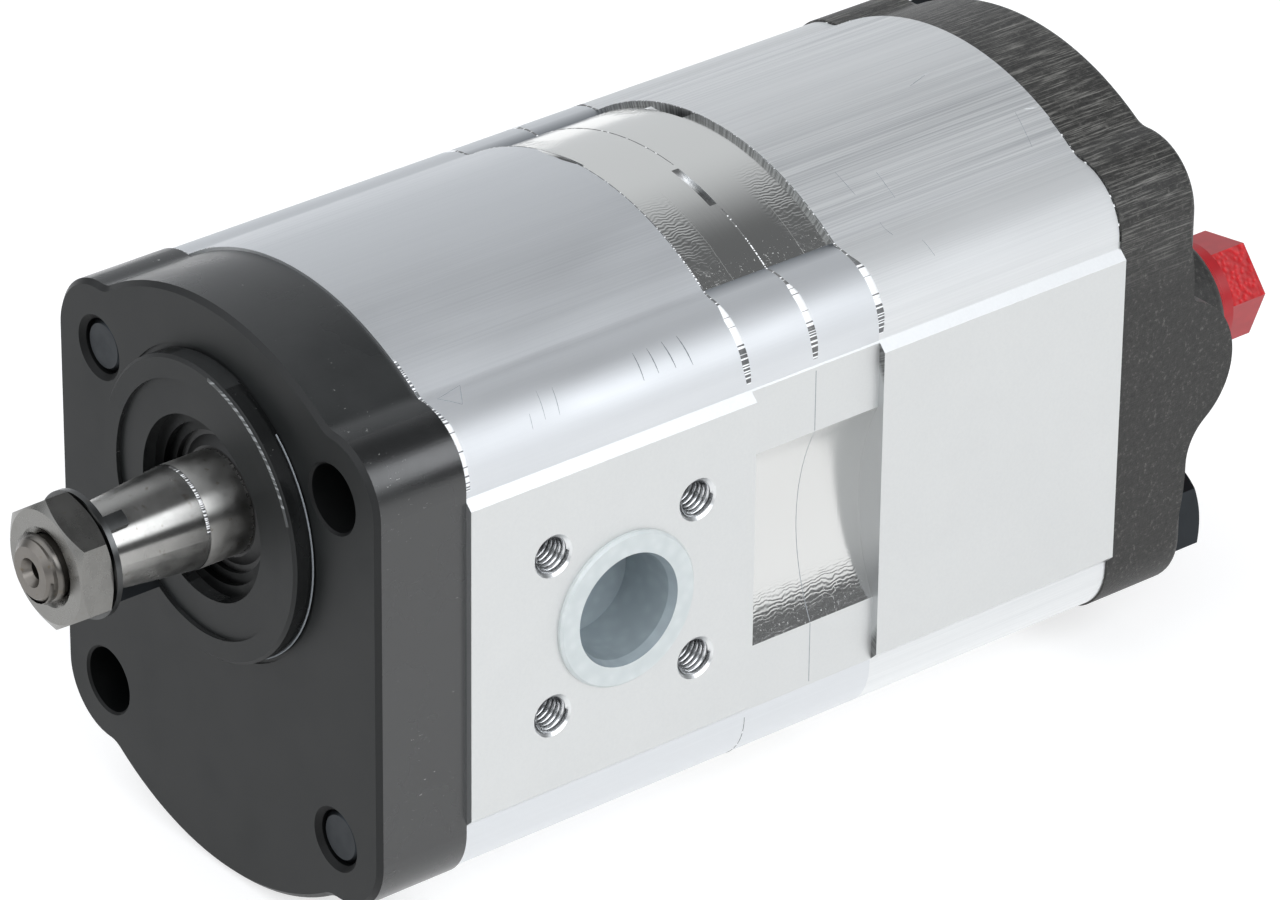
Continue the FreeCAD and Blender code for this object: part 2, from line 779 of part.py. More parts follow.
def make_block(start, gear_side):
    """A figure-eight bearing block. gear_side is 1 where its gears lie towards +Y."""
    end = start + block_length
    fit = bore_radius - block_clearance
    face = end if gear_side > 0 else start
    back = start if gear_side > 0 else end
    slot_y = sorted((face, face - gear_side * relief_slot_depth))
    seal_y = sorted((back, back + gear_side * block_seal_depth))
    half = relief_slot_width / 2
    waist = math.sqrt(bore_radius ** 2 - mid_z ** 2)
    cuts = [twin_bore(bush_radius, start - overshoot, end + overshoot), three_seal(*seal_y)]
    for side in (-1, 1):
        slot_x = sorted((side * relief_slot_start, side * (waist + overshoot)))
        cuts.append(box(slot_x, slot_y, (mid_z - half, mid_z + half)))
    return twin_bore(fit, start, end).cut(cuts)


def make_bushes(start):
    """The two thin-walled bushes of one block, as separate pieces."""
    bushes = []
    for z in (0, -gear_centres):
        outer = cylinder(bush_radius, 0, z, start, start + block_length)
        bore = cylinder(journal_radius + running_clearance, 0, z, start, start + block_length)
        bushes.append(outer.cut(bore))
    return Part.makeCompound(bushes)


def three_seal(start, end):
    """A seal shaped like a three, round the outlet side of both bores."""
    outer = twin_bore(block_seal_outer, start, end)
    band = outer.cut(twin_bore(block_seal_inner, start, end))
    reach = block_seal_outer + overshoot
    half = box((block_seal_end_x, reach), (start, end), (-gear_centres - reach, reach))
    return band.common(half)


def make_seal_case():
    """The pressed steel case of the shaft seal."""
    back = seal_front + seal_length
    inner = seal_radius - seal_case_wall
    edge = seal_radius - seal_face_width
    return turned([
        (edge, seal_front), (seal_radius - seal_case_bevel, seal_front),
        (seal_radius, seal_front + seal_case_bevel), (seal_radius, back), (inner, back),
        (inner, seal_front + seal_case_wall), (edge, seal_front + seal_case_wall),
    ])


def make_seal_lip():
    """The rubber of the shaft seal: a dust lip in front, a sealing lip behind."""
    front = seal_front + seal_case_wall
    lip = shaft_radius + running_clearance
    outer = seal_radius - seal_case_wall
    inner = outer - seal_rubber_wall
    back = lip + lip_thickness
    return turned([
        (outer, front), (outer, front + seal_rubber_length), (inner, front + seal_rubber_length),
        (inner, front + seal_web), (back, front + seal_web), (back, front + lip_length),
        (lip + lip_slope, front + lip_length), (lip, front + lip_length - lip_slope),
        (lip + lip_slope, front + seal_web), (lip + dust_lip_reach, front),
        (lip, front - dust_lip_reach), (lip + dust_lip_reach / 2, front - dust_lip_reach),
        (back, front),
    ])


def make_garter_spring():
    """The garter spring that holds the sealing lip to the shaft."""
    centre = seal_front + seal_case_wall + garter_place
    ring_radius = shaft_radius + running_clearance + lip_thickness + garter_wire_radius
    return Part.makeTorus(ring_radius, garter_wire_radius, Vector(0, centre, 0), Y_AXIS)


def ring_eyes(radius, start, end):
    """A pair of cylinders at the two ends of the snap ring, for its eyes or their holes."""
    z = math.sqrt(ring_inner_radius ** 2 - ring_eye_x ** 2) - ring_eye_drop
    return [cylinder(radius, side * ring_eye_x, z, start, end) for side in (-1, 1)]


def make_snap_ring():
    """The snap ring in front of the seal, with two eyes for the pliers, turned to the lower left."""
    end = seal_front - ring_side_play
    start = end - ring_thickness + 2 * ring_side_play
    ring = cylinder(seal_radius + ring_seat_depth - slide_clearance, 0, 0, start, end)
    ring = ring.cut(cylinder(ring_inner_radius, 0, 0, start, end))
    gap = box((-ring_gap_half, ring_gap_half), (start, end), (0, seal_radius + ring_seat_depth))
    ring = ring.cut(gap).fuse(ring_eyes(ring_eye_radius, start, end))
    ring = ring.cut(ring_eyes(ring_eye_hole_radius, start, end)).removeSplitter()
    ring.rotate(Vector(0, 0, 0), Y_AXIS, ring_turn)
    return ring


def chamfered_hexagon(across_flats, x, z, start, end, angle, both_ends):
    """A hexagon whose corners are turned off at its far end, or at both ends."""
    bar = hexagon(across_flats, x, z, start, end, angle)
    corner = across_flats / 2 / math.cos(math.radians(30)) + slide_clearance
    face_radius = across_flats / 2 * hexagon_face_ratio
    drop = (corner - face_radius) * math.tan(math.radians(hexagon_chamfer_angle))
    inner_end = [(face_radius, start), (corner, start + drop)] if both_ends else [(corner, start)]
    profile = [(0, start)] + inner_end + [(corner, end - drop), (face_radius, end), (0, end)]
    return bar.common(turned(profile, x, z))


def make_nut():
    """The shaft nut, chamfered on both faces and countersunk at the thread."""
    bar = chamfered_hexagon(nut_across_flats, 0, 0, nut_front, nut_rear, nut_angle, True)
    mouth = thread_major_radius + nut_mouth_clearance
    cuts = [
        cylinder(nut_bore_radius, 0, 0, nut_front, nut_rear),
        cone(mouth, nut_bore_radius, 0, 0, nut_front, nut_front + nut_mouth_depth),
        cone(nut_bore_radius, mouth, 0, 0, nut_rear - nut_mouth_depth, nut_rear),
    ]
    return bar.cut(cuts)


def make_tab_washer():
    """The washer behind the nut, with one tab laid along the taper."""
    start = nut_rear
    end = start + washer_thickness
    ring = cylinder(washer_radius, 0, 0, start, end)
    ring = ring.cut(cylinder(thread_root_radius + slide_clearance, 0, 0, start, end))
    near = cone_radius(-taper_front) + slide_clearance
    far = cone_radius(-taper_front + tab_length) + slide_clearance
    root = end - washer_thickness / 2
    tip = end + tab_length
    strip = box((near, washer_radius), (root, tip), (-tab_width / 2, tab_width / 2))
    outer = cone(near + washer_thickness, far + washer_thickness, 0, 0, root, tip)
    inner = cone(near, far, 0, 0, root, tip)
    tab = strip.common(outer.cut(inner))
    tab.rotate(Vector(0, 0, 0), Y_AXIS, -tab_angle)
    return joined(ring, [tab])


def make_clamp_bolt(corner):
    """A long clamp bolt, from the front cover's thread to its head behind the rear cover."""
    x, z = corner_places([corner])[0]
    head_start = rear_face + clamp_washer_face
    head_end = head_start + clamp_head_height
    shank = turned([
        (0, bolt_end_depth), (clamp_bolt_radius - bolt_end_chamfer, bolt_end_depth),
        (clamp_bolt_radius, bolt_end_depth + bolt_end_chamfer), (clamp_bolt_radius, rear_face),
        (clamp_face_radius, rear_face), (clamp_face_radius, head_start), (0, head_start),
    ], x, z)
    head = chamfered_hexagon(clamp_head_flats, x, z, head_start, head_end, clamp_head_angle, False)
    return joined(shank, [head])


def make_cap(side, port_radius):
    """A thin plastic cup pushed into a port, with a broad rim on the port's face."""
    outer = port_radius - cap_clearance
    inner = outer - cap_wall
    rim = port_radius + cap_rim_width
    face = body_half_width
    profile = [
        (0, face - cap_depth), (outer - cap_lead, face - cap_depth),
        (outer, face - cap_depth + cap_lead),
        (outer, face), (rim, face), (rim, face + cap_rim_thickness - cap_rim_bevel),
        (rim - cap_rim_bevel, face + cap_rim_thickness),
        (inner + cap_mouth_flare, face + cap_rim_thickness), (inner, face - cap_mouth_flare),
        (inner, face - cap_depth + cap_wall), (0, face - cap_depth + cap_wall),
    ]
    points = [Vector(side * x, port_setback + radius, mid_z) for radius, x in profile]
    section = Part.Face(Part.makePolygon(points + points[:1]))
    return section.revolve(Vector(0, port_setback, mid_z), Vector(1, 0, 0), 360)


def make_rear_plug():
    """The red plastic plug: threaded shank, round collar, round neck and hexagon."""
    seat = rear_face + boss_height
    collar_end = seat + plug_collar_thickness
    neck_end = collar_end + plug_neck_length
    end = neck_end + plug_hex_length
    start = seat - rear_port_depth + plug_end_gap
    outer = rear_port_radius - cap_clearance
    shank = turned([
        (0, start), (outer - plug_lead, start), (outer, start + plug_lead), (outer, seat),
        (plug_collar_radius, seat), (plug_collar_radius, collar_end - plug_collar_bevel),
        (plug_collar_radius - plug_collar_bevel, collar_end), (plug_neck_radius, collar_end),
        (plug_neck_radius, neck_end), (0, neck_end),
    ], rear_port_x, mid_z)
    bar = hexagon(plug_flats, rear_port_x, mid_z, collar_end, end, plug_hex_angle)
    far = [edge for edge in bar.Edges if edge.BoundBox.YMin > end - plug_edge_round / 2]
    bar = bar.makeFillet(plug_edge_round, far)
    return joined(shank, [bar])


def make_dowels():
    """The dowel pins of all five joints, as separate pieces."""
    joints = (front_body_start, front_body_end, plate_joint, rear_body_start, rear_body_end)
    half = dowel_length / 2
    pins = []
    for joint in joints:
        for x, z in dowel_places():
            pins.append(cylinder(dowel_radius - dowel_clearance, x, z, joint - half, joint + half))
    return Part.makeCompound(pins)


def make_joint_seals():
    """The moulded seals of all five joints, as separate pieces."""
    starts = (front_body_start, front_body_end - joint_seal_depth, plate_joint, rear_body_start,
              rear_body_end - joint_seal_depth)
    return Part.makeCompound([joint_seal(start) for start in starts])


def make_all():
    """Every piece of the pump by the name of its node."""
    block_starts = {
        "front_1": (front_body_start, 1),
        "front_2": (front_body_end - block_length, -1),
        "rear_1": (rear_body_start, 1),
        "rear_2": (rear_body_end - block_length, -1),
    }
    pieces = {
        "front_cover": make_front_cover(),
        "front_body": make_front_body(),
        "front_adapter_plate": make_front_plate(),
        "rear_adapter_plate": make_rear_plate(),
        "rear_body": make_rear_body(),
        "rear_cover": make_rear_cover(),
        "front_drive_shaft": make_front_drive_shaft(),
        "rear_drive_shaft": make_rear_drive_shaft(),
        "front_idler_gear": make_idler(front_body_start + slide_clearance,
                                       front_body_length - 2 * slide_clearance,
                                       front_gear_start, front_gear_width),
        "rear_idler_gear": make_idler(rear_body_start + slide_clearance,
                                      rear_body_length - 2 * slide_clearance,
                                      rear_gear_start, rear_gear_width),
        "shaft_coupling": make_coupling(),
        "woodruff_key": key_solid(0, 0),
        "tab_washer": make_tab_washer(),
        "shaft_nut": make_nut(),
        "seal_case": make_seal_case(),
        "seal_lip": make_seal_lip(),
        "garter_spring": make_garter_spring(),
        "seal_snap_ring": make_snap_ring(),
        "upper_clamp_bolt": make_clamp_bolt(clamp_corners[0]),
        "lower_clamp_bolt": make_clamp_bolt(clamp_corners[1]),
        "outlet_cap": make_cap(1, outlet_radius),
        "inlet_cap": make_cap(-1, inlet_radius),
        "rear_plug": make_rear_plug(),
        "dowel_pins": make_dowels(),
        "joint_seals": make_joint_seals(),
    }
    for name, (start, gear_side) in block_starts.items():
        back = start if gear_side > 0 else start + block_length
        seal_y = sorted((back, back + gear_side * block_seal_depth))
        pieces["bearing_block_" + name] = make_block(start, gear_side)
        pieces["bearing_bushes_" + name] = make_bushes(start)
        pieces["block_seal_" + name] = three_seal(*seal_y)
    return pieces


os.makedirs("parts", exist_ok=True)
for node, shape in make_all().items():
    shape.exportStep("parts/" + node + ".step")
    print(node, "solids", len(shape.Solids), "valid", shape.isValid(), "volume", round(shape.Volume))
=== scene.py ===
# %% [markdown]
# # A hydraulic gear pump, dressed for a studio picture
#
# The pump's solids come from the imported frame: two aluminium bodies, two plates, a black front
# cover with the drive shaft, a black cast rear cover, caps, bolts and a plug. This file gives each
# surface its finish, adds the small forms that the solids leave out, such as screw threads and
# tool marks, and sets up the camera and the light. The frame is loaded first, and its box is kept,
# because the finished model has to stay inside it.

# %% Load the frame
import math
from functools import partial

import bmesh
import bpy
import numpy as np
from mathutils import Matrix, Vector


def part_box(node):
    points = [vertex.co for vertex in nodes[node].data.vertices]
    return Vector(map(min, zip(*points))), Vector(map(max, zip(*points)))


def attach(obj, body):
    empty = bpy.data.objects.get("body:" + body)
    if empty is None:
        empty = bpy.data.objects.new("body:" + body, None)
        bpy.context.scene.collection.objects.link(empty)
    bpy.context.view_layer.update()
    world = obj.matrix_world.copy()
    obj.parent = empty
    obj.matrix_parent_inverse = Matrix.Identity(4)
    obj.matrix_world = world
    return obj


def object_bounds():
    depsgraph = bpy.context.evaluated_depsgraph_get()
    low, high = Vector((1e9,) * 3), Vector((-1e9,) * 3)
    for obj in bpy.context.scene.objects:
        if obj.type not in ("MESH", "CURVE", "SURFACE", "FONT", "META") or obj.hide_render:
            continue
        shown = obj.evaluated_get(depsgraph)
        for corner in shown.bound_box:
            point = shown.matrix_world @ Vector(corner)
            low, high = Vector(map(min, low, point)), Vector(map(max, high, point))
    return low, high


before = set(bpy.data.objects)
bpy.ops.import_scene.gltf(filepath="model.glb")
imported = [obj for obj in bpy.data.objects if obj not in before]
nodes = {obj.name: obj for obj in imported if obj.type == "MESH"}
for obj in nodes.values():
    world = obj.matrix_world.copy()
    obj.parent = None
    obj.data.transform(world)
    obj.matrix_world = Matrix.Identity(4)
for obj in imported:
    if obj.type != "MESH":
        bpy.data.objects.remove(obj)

cad_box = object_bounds()

# %% [markdown]
# Real sizes are read in millimetres on a drawing, so this file states them in millimetres and
# turns them into metres in one place. The main places of the pump are read from the frame: where
# each piece begins and ends along the shaft, and how wide the case is.

# %% Sizes
MM = 0.001
CROWN_END = math.radians(35.0)  # the angle from the top at which the big arcs end
bolt_half = 30 * MM  # half the side of the square on which the four corner holes stand


def span(node, axis):
    """The lowest and highest place of a node along one axis, in metres."""
    low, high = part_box(node)
    return low[axis], high[axis]


cover_back, body_back, plate_joint, plate_back, rear_body_back = (
    span(node, 1)[1] for node in ("front_cover", "front_body", "front_adapter_plate",
                                  "rear_adapter_plate", "rear_body"))
case_low, case_high = span("front_body", 2)
case_middle, case_radius = (case_low + case_high) / 2, (case_high - case_low) / 2
plate_low, plate_high = span("front_adapter_plate", 2)
plate_radius = (plate_high - plate_low) / 2
port_face, plate_face = (span(node, 0)[1] for node in ("front_body", "front_adapter_plate"))
port_y = sum(span("outlet_cap", 1)) / 2
print("case radius", round(case_radius / MM, 2), "port face", round(port_face / MM, 2))

# %% [markdown]
# The camera stands where the photographer's stood. A long lens far away keeps the case's edges
# almost parallel. Its angle, distance and focal length were measured from the photograph by
# matching edges whose sizes are known, so the render can be laid over the photograph.

# %% Camera
AZIMUTH, ELEVATION, ROLL = 50.7827, 29.2856, 0.6597  # degrees
CAMERA_DISTANCE = 1217.113 * MM
LENS = 215.72  # the focal length in millimetres, for a sensor 36 mm wide
AIM_Y, AIM_RIGHT, AIM_UP = 80 * MM, 2.92 * MM, -15.818 * MM


def place_in_scene(name, data):
    """A new object with this data, linked into the scene."""
    made = bpy.data.objects.new(name, data)
    bpy.context.scene.collection.objects.link(made)
    return made


def make_camera():
    """A camera on a sphere round the aim point, which is slid right and up in the picture.

    Its place is a product, read from the right: roll, step back, right and up, tilt down from
    the zenith, swing round the pump, and move to the aim.
    """
    azimuth, tilt, roll = (math.radians(angle) for angle in (AZIMUTH, 90 - ELEVATION, ROLL))
    data = bpy.data.cameras.new("studio_camera")
    data.lens = LENS
    data.clip_start, data.clip_end = 0.1, 20
    camera = place_in_scene("studio_camera", data)
    camera.matrix_world = (
        Matrix.Translation((0, AIM_Y, 0)) @ Matrix.Rotation(azimuth, 4, "Z")
        @ Matrix.Rotation(tilt, 4, "X")
        @ Matrix.Translation((AIM_RIGHT, AIM_UP, CAMERA_DISTANCE)) @ Matrix.Rotation(roll, 4, "Z"))
    bpy.context.scene.camera = camera
    return camera


camera = make_camera()
bpy.context.scene.view_settings.view_transform = "Standard"
print("camera at", [round(value, 3) for value in camera.location])

# %% [markdown]
# Materials are graphs of nodes. A few helpers keep the code short. One turns a colour written as
# on a web page into the linear numbers that Blender mixes. One adds any node, sets its options,
# fills its inputs with numbers, colours or wires, and hands back the wire that leaves it. Almost
# every finish here ends with two colours mixed by a pattern and a height that roughens the
# surface, so that last step is a helper too.

# %% Helpers for materials


def rgb(text):
    """A colour from sRGB hex to linear: each part is undone from the screen's gamma curve."""
    parts = [int(text[i:i + 2], 16) / 255 for i in (1, 3, 5)]
    return [p / 12.92 if p <= 0.04045 else ((p + 0.055) / 1.055) ** 2.4 for p in parts] + [1.0]


def add(tree, kind, inputs=(), out=0, to=None, **options):
    """One node of a kind, with its options set and its inputs given in order or by name.

    The kind may be followed by the operation, or by a Mix node's type of data. Returns the output
    of that number or name, or the node itself where out is None. The output is also linked to the
    socket that is given as to.
    """
    kind, _, mode = kind.partition(" ")
    if mode:
        options["data_type" if kind == "Mix" else "operation"] = mode
    made = tree.nodes.new("ShaderNode" + kind)
    for name, value in options.items():
        setattr(made, name, value)
    for place, value in inputs.items() if isinstance(inputs, dict) else enumerate(inputs):
        if isinstance(value, bpy.types.NodeSocket):
            tree.links.new(value, made.inputs[place])
        else:
            made.inputs[place].default_value = rgb(value) if isinstance(value, str) else value
    if to is not None:
        tree.links.new(made.outputs[out], to)
    return made if out is None else made.outputs[out]


def empty_graph(data):
    """Empties the nodes of a material or a world, and hands back add for its tree."""
    data.use_nodes = True
    data.node_tree.nodes.clear()
    return partial(add, data.node_tree)


def new_material(name, colour, metallic, roughness, **more):
    """A material with one Principled shader: gives it, add for its tree, shader and point.

    The point is the place on the pump, in metres, on which patterns are laid out.
    """
    made = bpy.data.materials.new(name)
    node = empty_graph(made)
    shader = node("BsdfPrincipled", {"Base Color": colour, "Metallic": metallic,
                                     "Roughness": roughness, **more}, out=None)
    node("OutputMaterial", [shader.outputs[0]], out=None)
    return made, node, shader, node("TexCoord", out="Object")


def on_case(node, point):
    """A point's X and Y, its height over the case's middle, and its angle from the top."""
    x, y, z = node("SeparateXYZ", [point], out=None).outputs
    up = node("Math SUBTRACT", [z, case_middle])
    return {"x": x, "y": y, "up": up, "angle": node("Math ARCTAN2", [x, up])}


def grain(node, point, size_mm, detail=3.0, roughness=0.55):
    """Cloudy noise whose grains have a size in millimetres: one for all, or along X, Y and Z."""
    scale = [1 / (size * MM) for size in np.broadcast_to(size_mm, 3)]
    scaled = node("Mapping", {"Vector": point, "Scale": scale})
    return node("TexNoise", {"Vector": scaled, "Scale": 1.0, "Detail": detail,
                             "Roughness": roughness})


def coat(node, shader, share, colours, height, depth_mm, rough=None):
    """Mixes two colours by a share into the base colour, and raises a height as bump.

    Rough is a pattern with the roughness where it is low and where it is high.
    """
    node("Mix RGBA", {0: share, 6: colours[0], 7: colours[1]}, 2, shader.inputs["Base Color"])
    node("Bump", {"Height": height, "Distance": depth_mm * MM}, to=shader.inputs["Normal"])
    if rough:
        node("MapRange", [rough[0], 0.3, 0.7, *rough[1:]], to=shader.inputs["Roughness"])


print("helpers ready")

# %% [markdown]
# Metal shows what stands round it, so the studio matters as much as the metal. The lamps could be
# mesh planes, but here they are painted on the sky: each softbox is a rectangle seen in some
# mesh planes, but here they are painted on the sky: each softbox is a rectangle seen in some
# direction, with a soft rim, and one wide soft patch stands for a lit wall. The room between
# pump: it draws the bright line along the case and the shaft. The camera itself sees plain white.

# %% Studio light
SOFTBOXES = [
    # the way to its middle, half width and half height as slopes, rim, strength
    ((0.785, 0.000, 0.619), 0.80, 0.31, 0.12, 3.15),
    ((-0.250, -0.800, 0.900), 0.90, 0.80, 0.60, 1.50),
]
# the lit wall: the way to it, the cosines where it is full and where it ends, its strength
WALL_WAY, WALL_FULL, WALL_END, WALL_STRENGTH = (-0.75, 0.55, 0.35), 0.96, 0.62, 0.60
# the dim room, the light from the floor, and how softly the two meet at the horizon
ROOM_GLOW, FLOOR_GLOW, HORIZON = 0.155, 0.95, 0.02


def softbox(node, direction, place, half_width, half_height, rim):
    """1 where a direction, drawn from the middle of the room, passes through a lamp's rectangle.

    The direction is measured along the lamp's own right, up and forward lines. Right and up over
    forward are slopes, which are compared with the half width and the half height.
    """
    forward = Vector(place).normalized()
    right = forward.cross(Vector((0, 0, 1))).normalized()
    measured = [node("VectorMath DOT_PRODUCT", [direction, line], "Value")
                for line in (right, right.cross(forward), forward)]
    depth = node("Math MAXIMUM", [measured[2], 0.001])  # never nought
    inside = []
    for along, half in ((measured[0], half_width), (measured[1], half_height)):
        slope = node("Math ABSOLUTE", [node("Math DIVIDE", [along, depth])])
        inside.append(node("MapRange", [slope, half + rim, half - rim],
                           interpolation_type="SMOOTHSTEP"))
    return node("Math MULTIPLY", inside)


def make_world():
    """Room light by direction: a dim room, the lamps, a lit wall, and white below the horizon."""
    world = bpy.data.worlds.new("studio")
    bpy.context.scene.world = world
    node = empty_graph(world)
    direction = node("TexCoord", out="Generated")
    cosine = node("VectorMath DOT_PRODUCT", [direction, Vector(WALL_WAY).normalized()],
                  "Value")
    total = node("MapRange", [cosine, WALL_END, WALL_FULL, ROOM_GLOW,
                              ROOM_GLOW + WALL_STRENGTH], interpolation_type="SMOOTHSTEP")
    for place, half_width, half_height, rim, strength in SOFTBOXES:
        lamp = softbox(node, direction, place, half_width, half_height, rim)
        total = node("Math MULTIPLY_ADD", [lamp, strength, total])
    height = node("SeparateXYZ", [direction], 2)
    below = node("MapRange", [height, HORIZON, -HORIZON])
    lit = node("Mix", {0: below, 2: total, 3: FLOOR_GLOW})
    room = node("Background", ["#f8fbff", lit])
    white = node("Background", ["#ffffff", 1.0])
    rays = node("LightPath", out=None).outputs
    seen = node("Math MAXIMUM", [rays["Is Camera Ray"], rays["Is Transmission Ray"]])
    node("OutputWorld", [node("MixShader", [seen, room, white])], out=None)


make_world()
print("softboxes", len(SOFTBOXES))

# %% [markdown]
# The floor is pale paper. For the light that it throws back it is a matt white sheet. Seen by the
# camera or in a reflection, part of its white comes from a little glow, so that it meets the
# background without an edge and keeps only a faint shadow.

# %% Floor
FLOOR_HALF = 3.0  # metres
FLOOR_GAP = 0.05 * MM
PAPER_GLOW = 0.66  # with the light on the shaded sheet below, it adds up to white


def paper():
    """Matt white paper, with a glow where it is seen, and clear where it is seen from below."""
    made = bpy.data.materials.new("matt_paper")
    node = empty_graph(made)
    matt = node("BsdfDiffuse", {"Color": "#eeeeee"})
    shade = node("BsdfDiffuse", {"Color": "#b4b4b4"})
    glow = node("Emission", {"Color": "#ffffff", "Strength": PAPER_GLOW})
    rays = node("LightPath", out=None).outputs
    seen = node("Math MAXIMUM", [rays["Is Camera Ray"], rays["Is Glossy Ray"]])
    seen = node("Math MAXIMUM", [seen, rays["Is Transmission Ray"]])
    sheet = node("MixShader", [seen, matt, node("AddShader", [shade, glow])])
    under = node("NewGeometry", out="Backfacing")
    both = node("MixShader", [under, sheet, node("BsdfTransparent")])
    node("OutputMaterial", [both], out=None)
    return made


def make_floor():
    """A square sheet just under the pump's lowest point."""
    level = cad_box[0][2] - FLOOR_GAP
    corners = [(x * FLOOR_HALF, y * FLOOR_HALF, level)
               for x, y in ((-1, -1), (1, -1), (1, 1), (-1, 1))]
    mesh = bpy.data.meshes.new("paper_floor")
    mesh.from_pydata(corners, [], [(0, 1, 2, 3)])
    mesh.materials.append(paper())
    floor = place_in_scene("paper_floor", mesh)
    print("floor level", round(level / MM, 2))


make_floor()

# %% [markdown]
# The bodies are drawn aluminium: a billet pushed through a die. The die leaves fine lines along
# the length. Their grooves throw a reflection out sideways, round the case, and keep it narrow
# along the shaft. That is what an anisotropic shader does, and it needs to know which way round
# is: the cross product of the surface's direction and the shaft's points there. The lines' dark
# colour is painted strongest on the flanks of the big arcs, as painted shade where the light rakes
# over them, and the plates have a strip of painted shade at the corner where each ear begins.

# %% Drawn aluminium
# radians from the top or bottom: where painted line shade rises and fades, the shaded strip
FLANK_RISE, FLANK_FALL, CORNER_WIDTH = (0.10, 0.32), (0.56, 0.68), 0.05


def smear_round(node, shader):
    """Turns the shader's smear round the case: surface direction cross shaft direction.

    The shaft's direction leans a little, so that faces square to the shaft get a direction too.
    """
    facing = node("NewGeometry", out="Normal")
    node("VectorMath CROSS_PRODUCT", [facing, (0.02, 1.0, 0.01)], to=shader.inputs["Tangent"])


def drawn_aluminium(name, roughness, line_depth, line_contrast, tone, corner_painted_shade=0.0):
    """Extruded aluminium: fine die lines along Y, a few coarse ones, and soft cloudy bloom.

    The lines' painted shade is strongest on the flanks of the big arcs. The corner's painted shade
    darkens a thin strip where the ears begin, by its share.
    """
    made, node, shader, point = new_material(name, tone, 1.0, roughness, Anisotropic=0.76)
    fine = grain(node, point, (0.28, 60, 0.28), 4.0, 0.65)
    coarse = grain(node, point, (1.6, 240, 1.6), 2.0)
    bloom = grain(node, point, (9, 30, 9), 2.0)
    lines = node("Mix", {0: 0.25, 2: fine, 3: coarse})
    at = on_case(node, point)
    across, up = (node("Math ABSOLUTE", [at[way]]) for way in ("x", "up"))
    turn = node("Math ARCTAN2", [across, up])
    # the lines' dark colour is painted strongest on the flanks, as shade where the light rakes
    rise = node("MapRange", [turn, *FLANK_RISE, 0.3, 1.0])
    fall = node("MapRange", [turn, *FLANK_FALL, 1.0, 0.22])
    flank = node("Math MULTIPLY", [rise, fall])
    dark = node("MapRange", [lines, 0.60, 0.38, 0.0, line_contrast])
    dark = node("Math MULTIPLY", [dark, flank])
    # painted shade: a thin dark strip where the ears begin
    corner = node("MapRange", [turn, CROWN_END, CROWN_END + CORNER_WIDTH, corner_painted_shade, 0.0])
    dark = node("Math MAXIMUM", [dark, corner])
    coat(node, shader, dark, (tone, "#8d9196"), lines, line_depth,
         (bloom, roughness - 0.03, roughness + 0.04))
    smear_round(node, shader)
    return made


front_extrusion = drawn_aluminium("drawn_aluminium_front", 0.44, 0.004, 0.12, "#e3e5e7")
rear_extrusion = drawn_aluminium("drawn_aluminium_rear", 0.53, 0.005, 0.42, "#f0f1f1")
# the plates get the painted shade in the strip where each ear begins
plate_extrusion = drawn_aluminium("drawn_aluminium_plates", 0.44, 0.004, 0.12, "#e3e5e7", 0.95)
print("drawn aluminium ready")

# %% [markdown]
# The port faces are milled flat with a wide cutter and look matt and even, a very light grey.
# Close to, the cutter's arcs cross them. Those are too fine to show, so they are drawn coarser
# than they are, and very shallow. The ends of the bodies are milled the same way. Near their outer
# rim they carry teeth left by a singing cutter, in a band painted dark as painted shade where the
# rim steps out past the plate.

# %% Milled aluminium
CUTTER_MIDDLE = 300 * MM  # the Y of the middle of the cutter's arcs
ARC_SPACING, TOOTH = 3.4558 * MM, 0.55 * MM


def milled_face(name, colour, roughness):
    """A face-milled plane: wide shallow arcs of the cutter, matt, with a breath of cloudiness.

    A wave texture repeats every pi / 10 over its scale.
    """
    made, node, shader, point = new_material(name, colour, 1.0, roughness)
    centred = node("Mapping", {"Vector": point, "Location": (0, -CUTTER_MIDDLE, 0)})
    arcs = node("TexWave", {"Vector": centred, "Scale": math.pi / 10 / ARC_SPACING,
                            "Distortion": 0.6, "Detail": 2.0}, out="Fac",
                wave_type="RINGS", rings_direction="X")
    cloud, speck = grain(node, point, 14, 2.0), grain(node, point, 0.5, 2.0)
    tone = node("Mix", {0: 0.6, 2: cloud, 3: speck})
    share = node("MapRange", [tone, 0.35, 0.65, 0.0, 0.14])
    coat(node, shader, share, (colour, "#c9cbcc"), arcs, 0.0012)
    return made


def toothed_end(name):
    """A milled end, its rim's teeth painted dark as shade: noise round the axis against the way
    out.
    """
    made, node, shader, point = new_material(name, "#c4c6c7", 1.0, 0.42)
    at = on_case(node, point)
    squares = [node("Math POWER", [at[way], 2.0]) for way in ("x", "up")]
    radius = node("Math POWER", [node("Math ADD", squares), 0.5])
    teeth = node("TexNoise", {"W": at["angle"], "Scale": case_radius / TOOTH, "Detail": 1.0},
                 noise_dimensions="1D")
    # painted shade: the band of teeth near the rim is painted dark
    rim_painted_shade = node("MapRange", [radius, case_radius - 3.2 * MM, case_radius - 2.0 * MM])
    shade = node("Mix RGBA", {0: node("MapRange", [teeth, 0.42, 0.58]),
                              6: "#6a6b6b", 7: "#8f9090"}, 2)
    coat(node, shader, rim_painted_shade, ("#c4c6c7", shade), grain(node, point, 0.3), 0.004)
    return made


port_milling = milled_face("milled_aluminium", "#dfe0df", 0.55)
end_milling = milled_face("milled_aluminium_ends", "#d9dbdc", 0.42)
edge_milling = milled_face("milled_aluminium_edges", "#e9eaea", 0.34)
rim_teeth_painted_shade = toothed_end("toothed_aluminium_end_painted_shade")
print("milled aluminium ready")

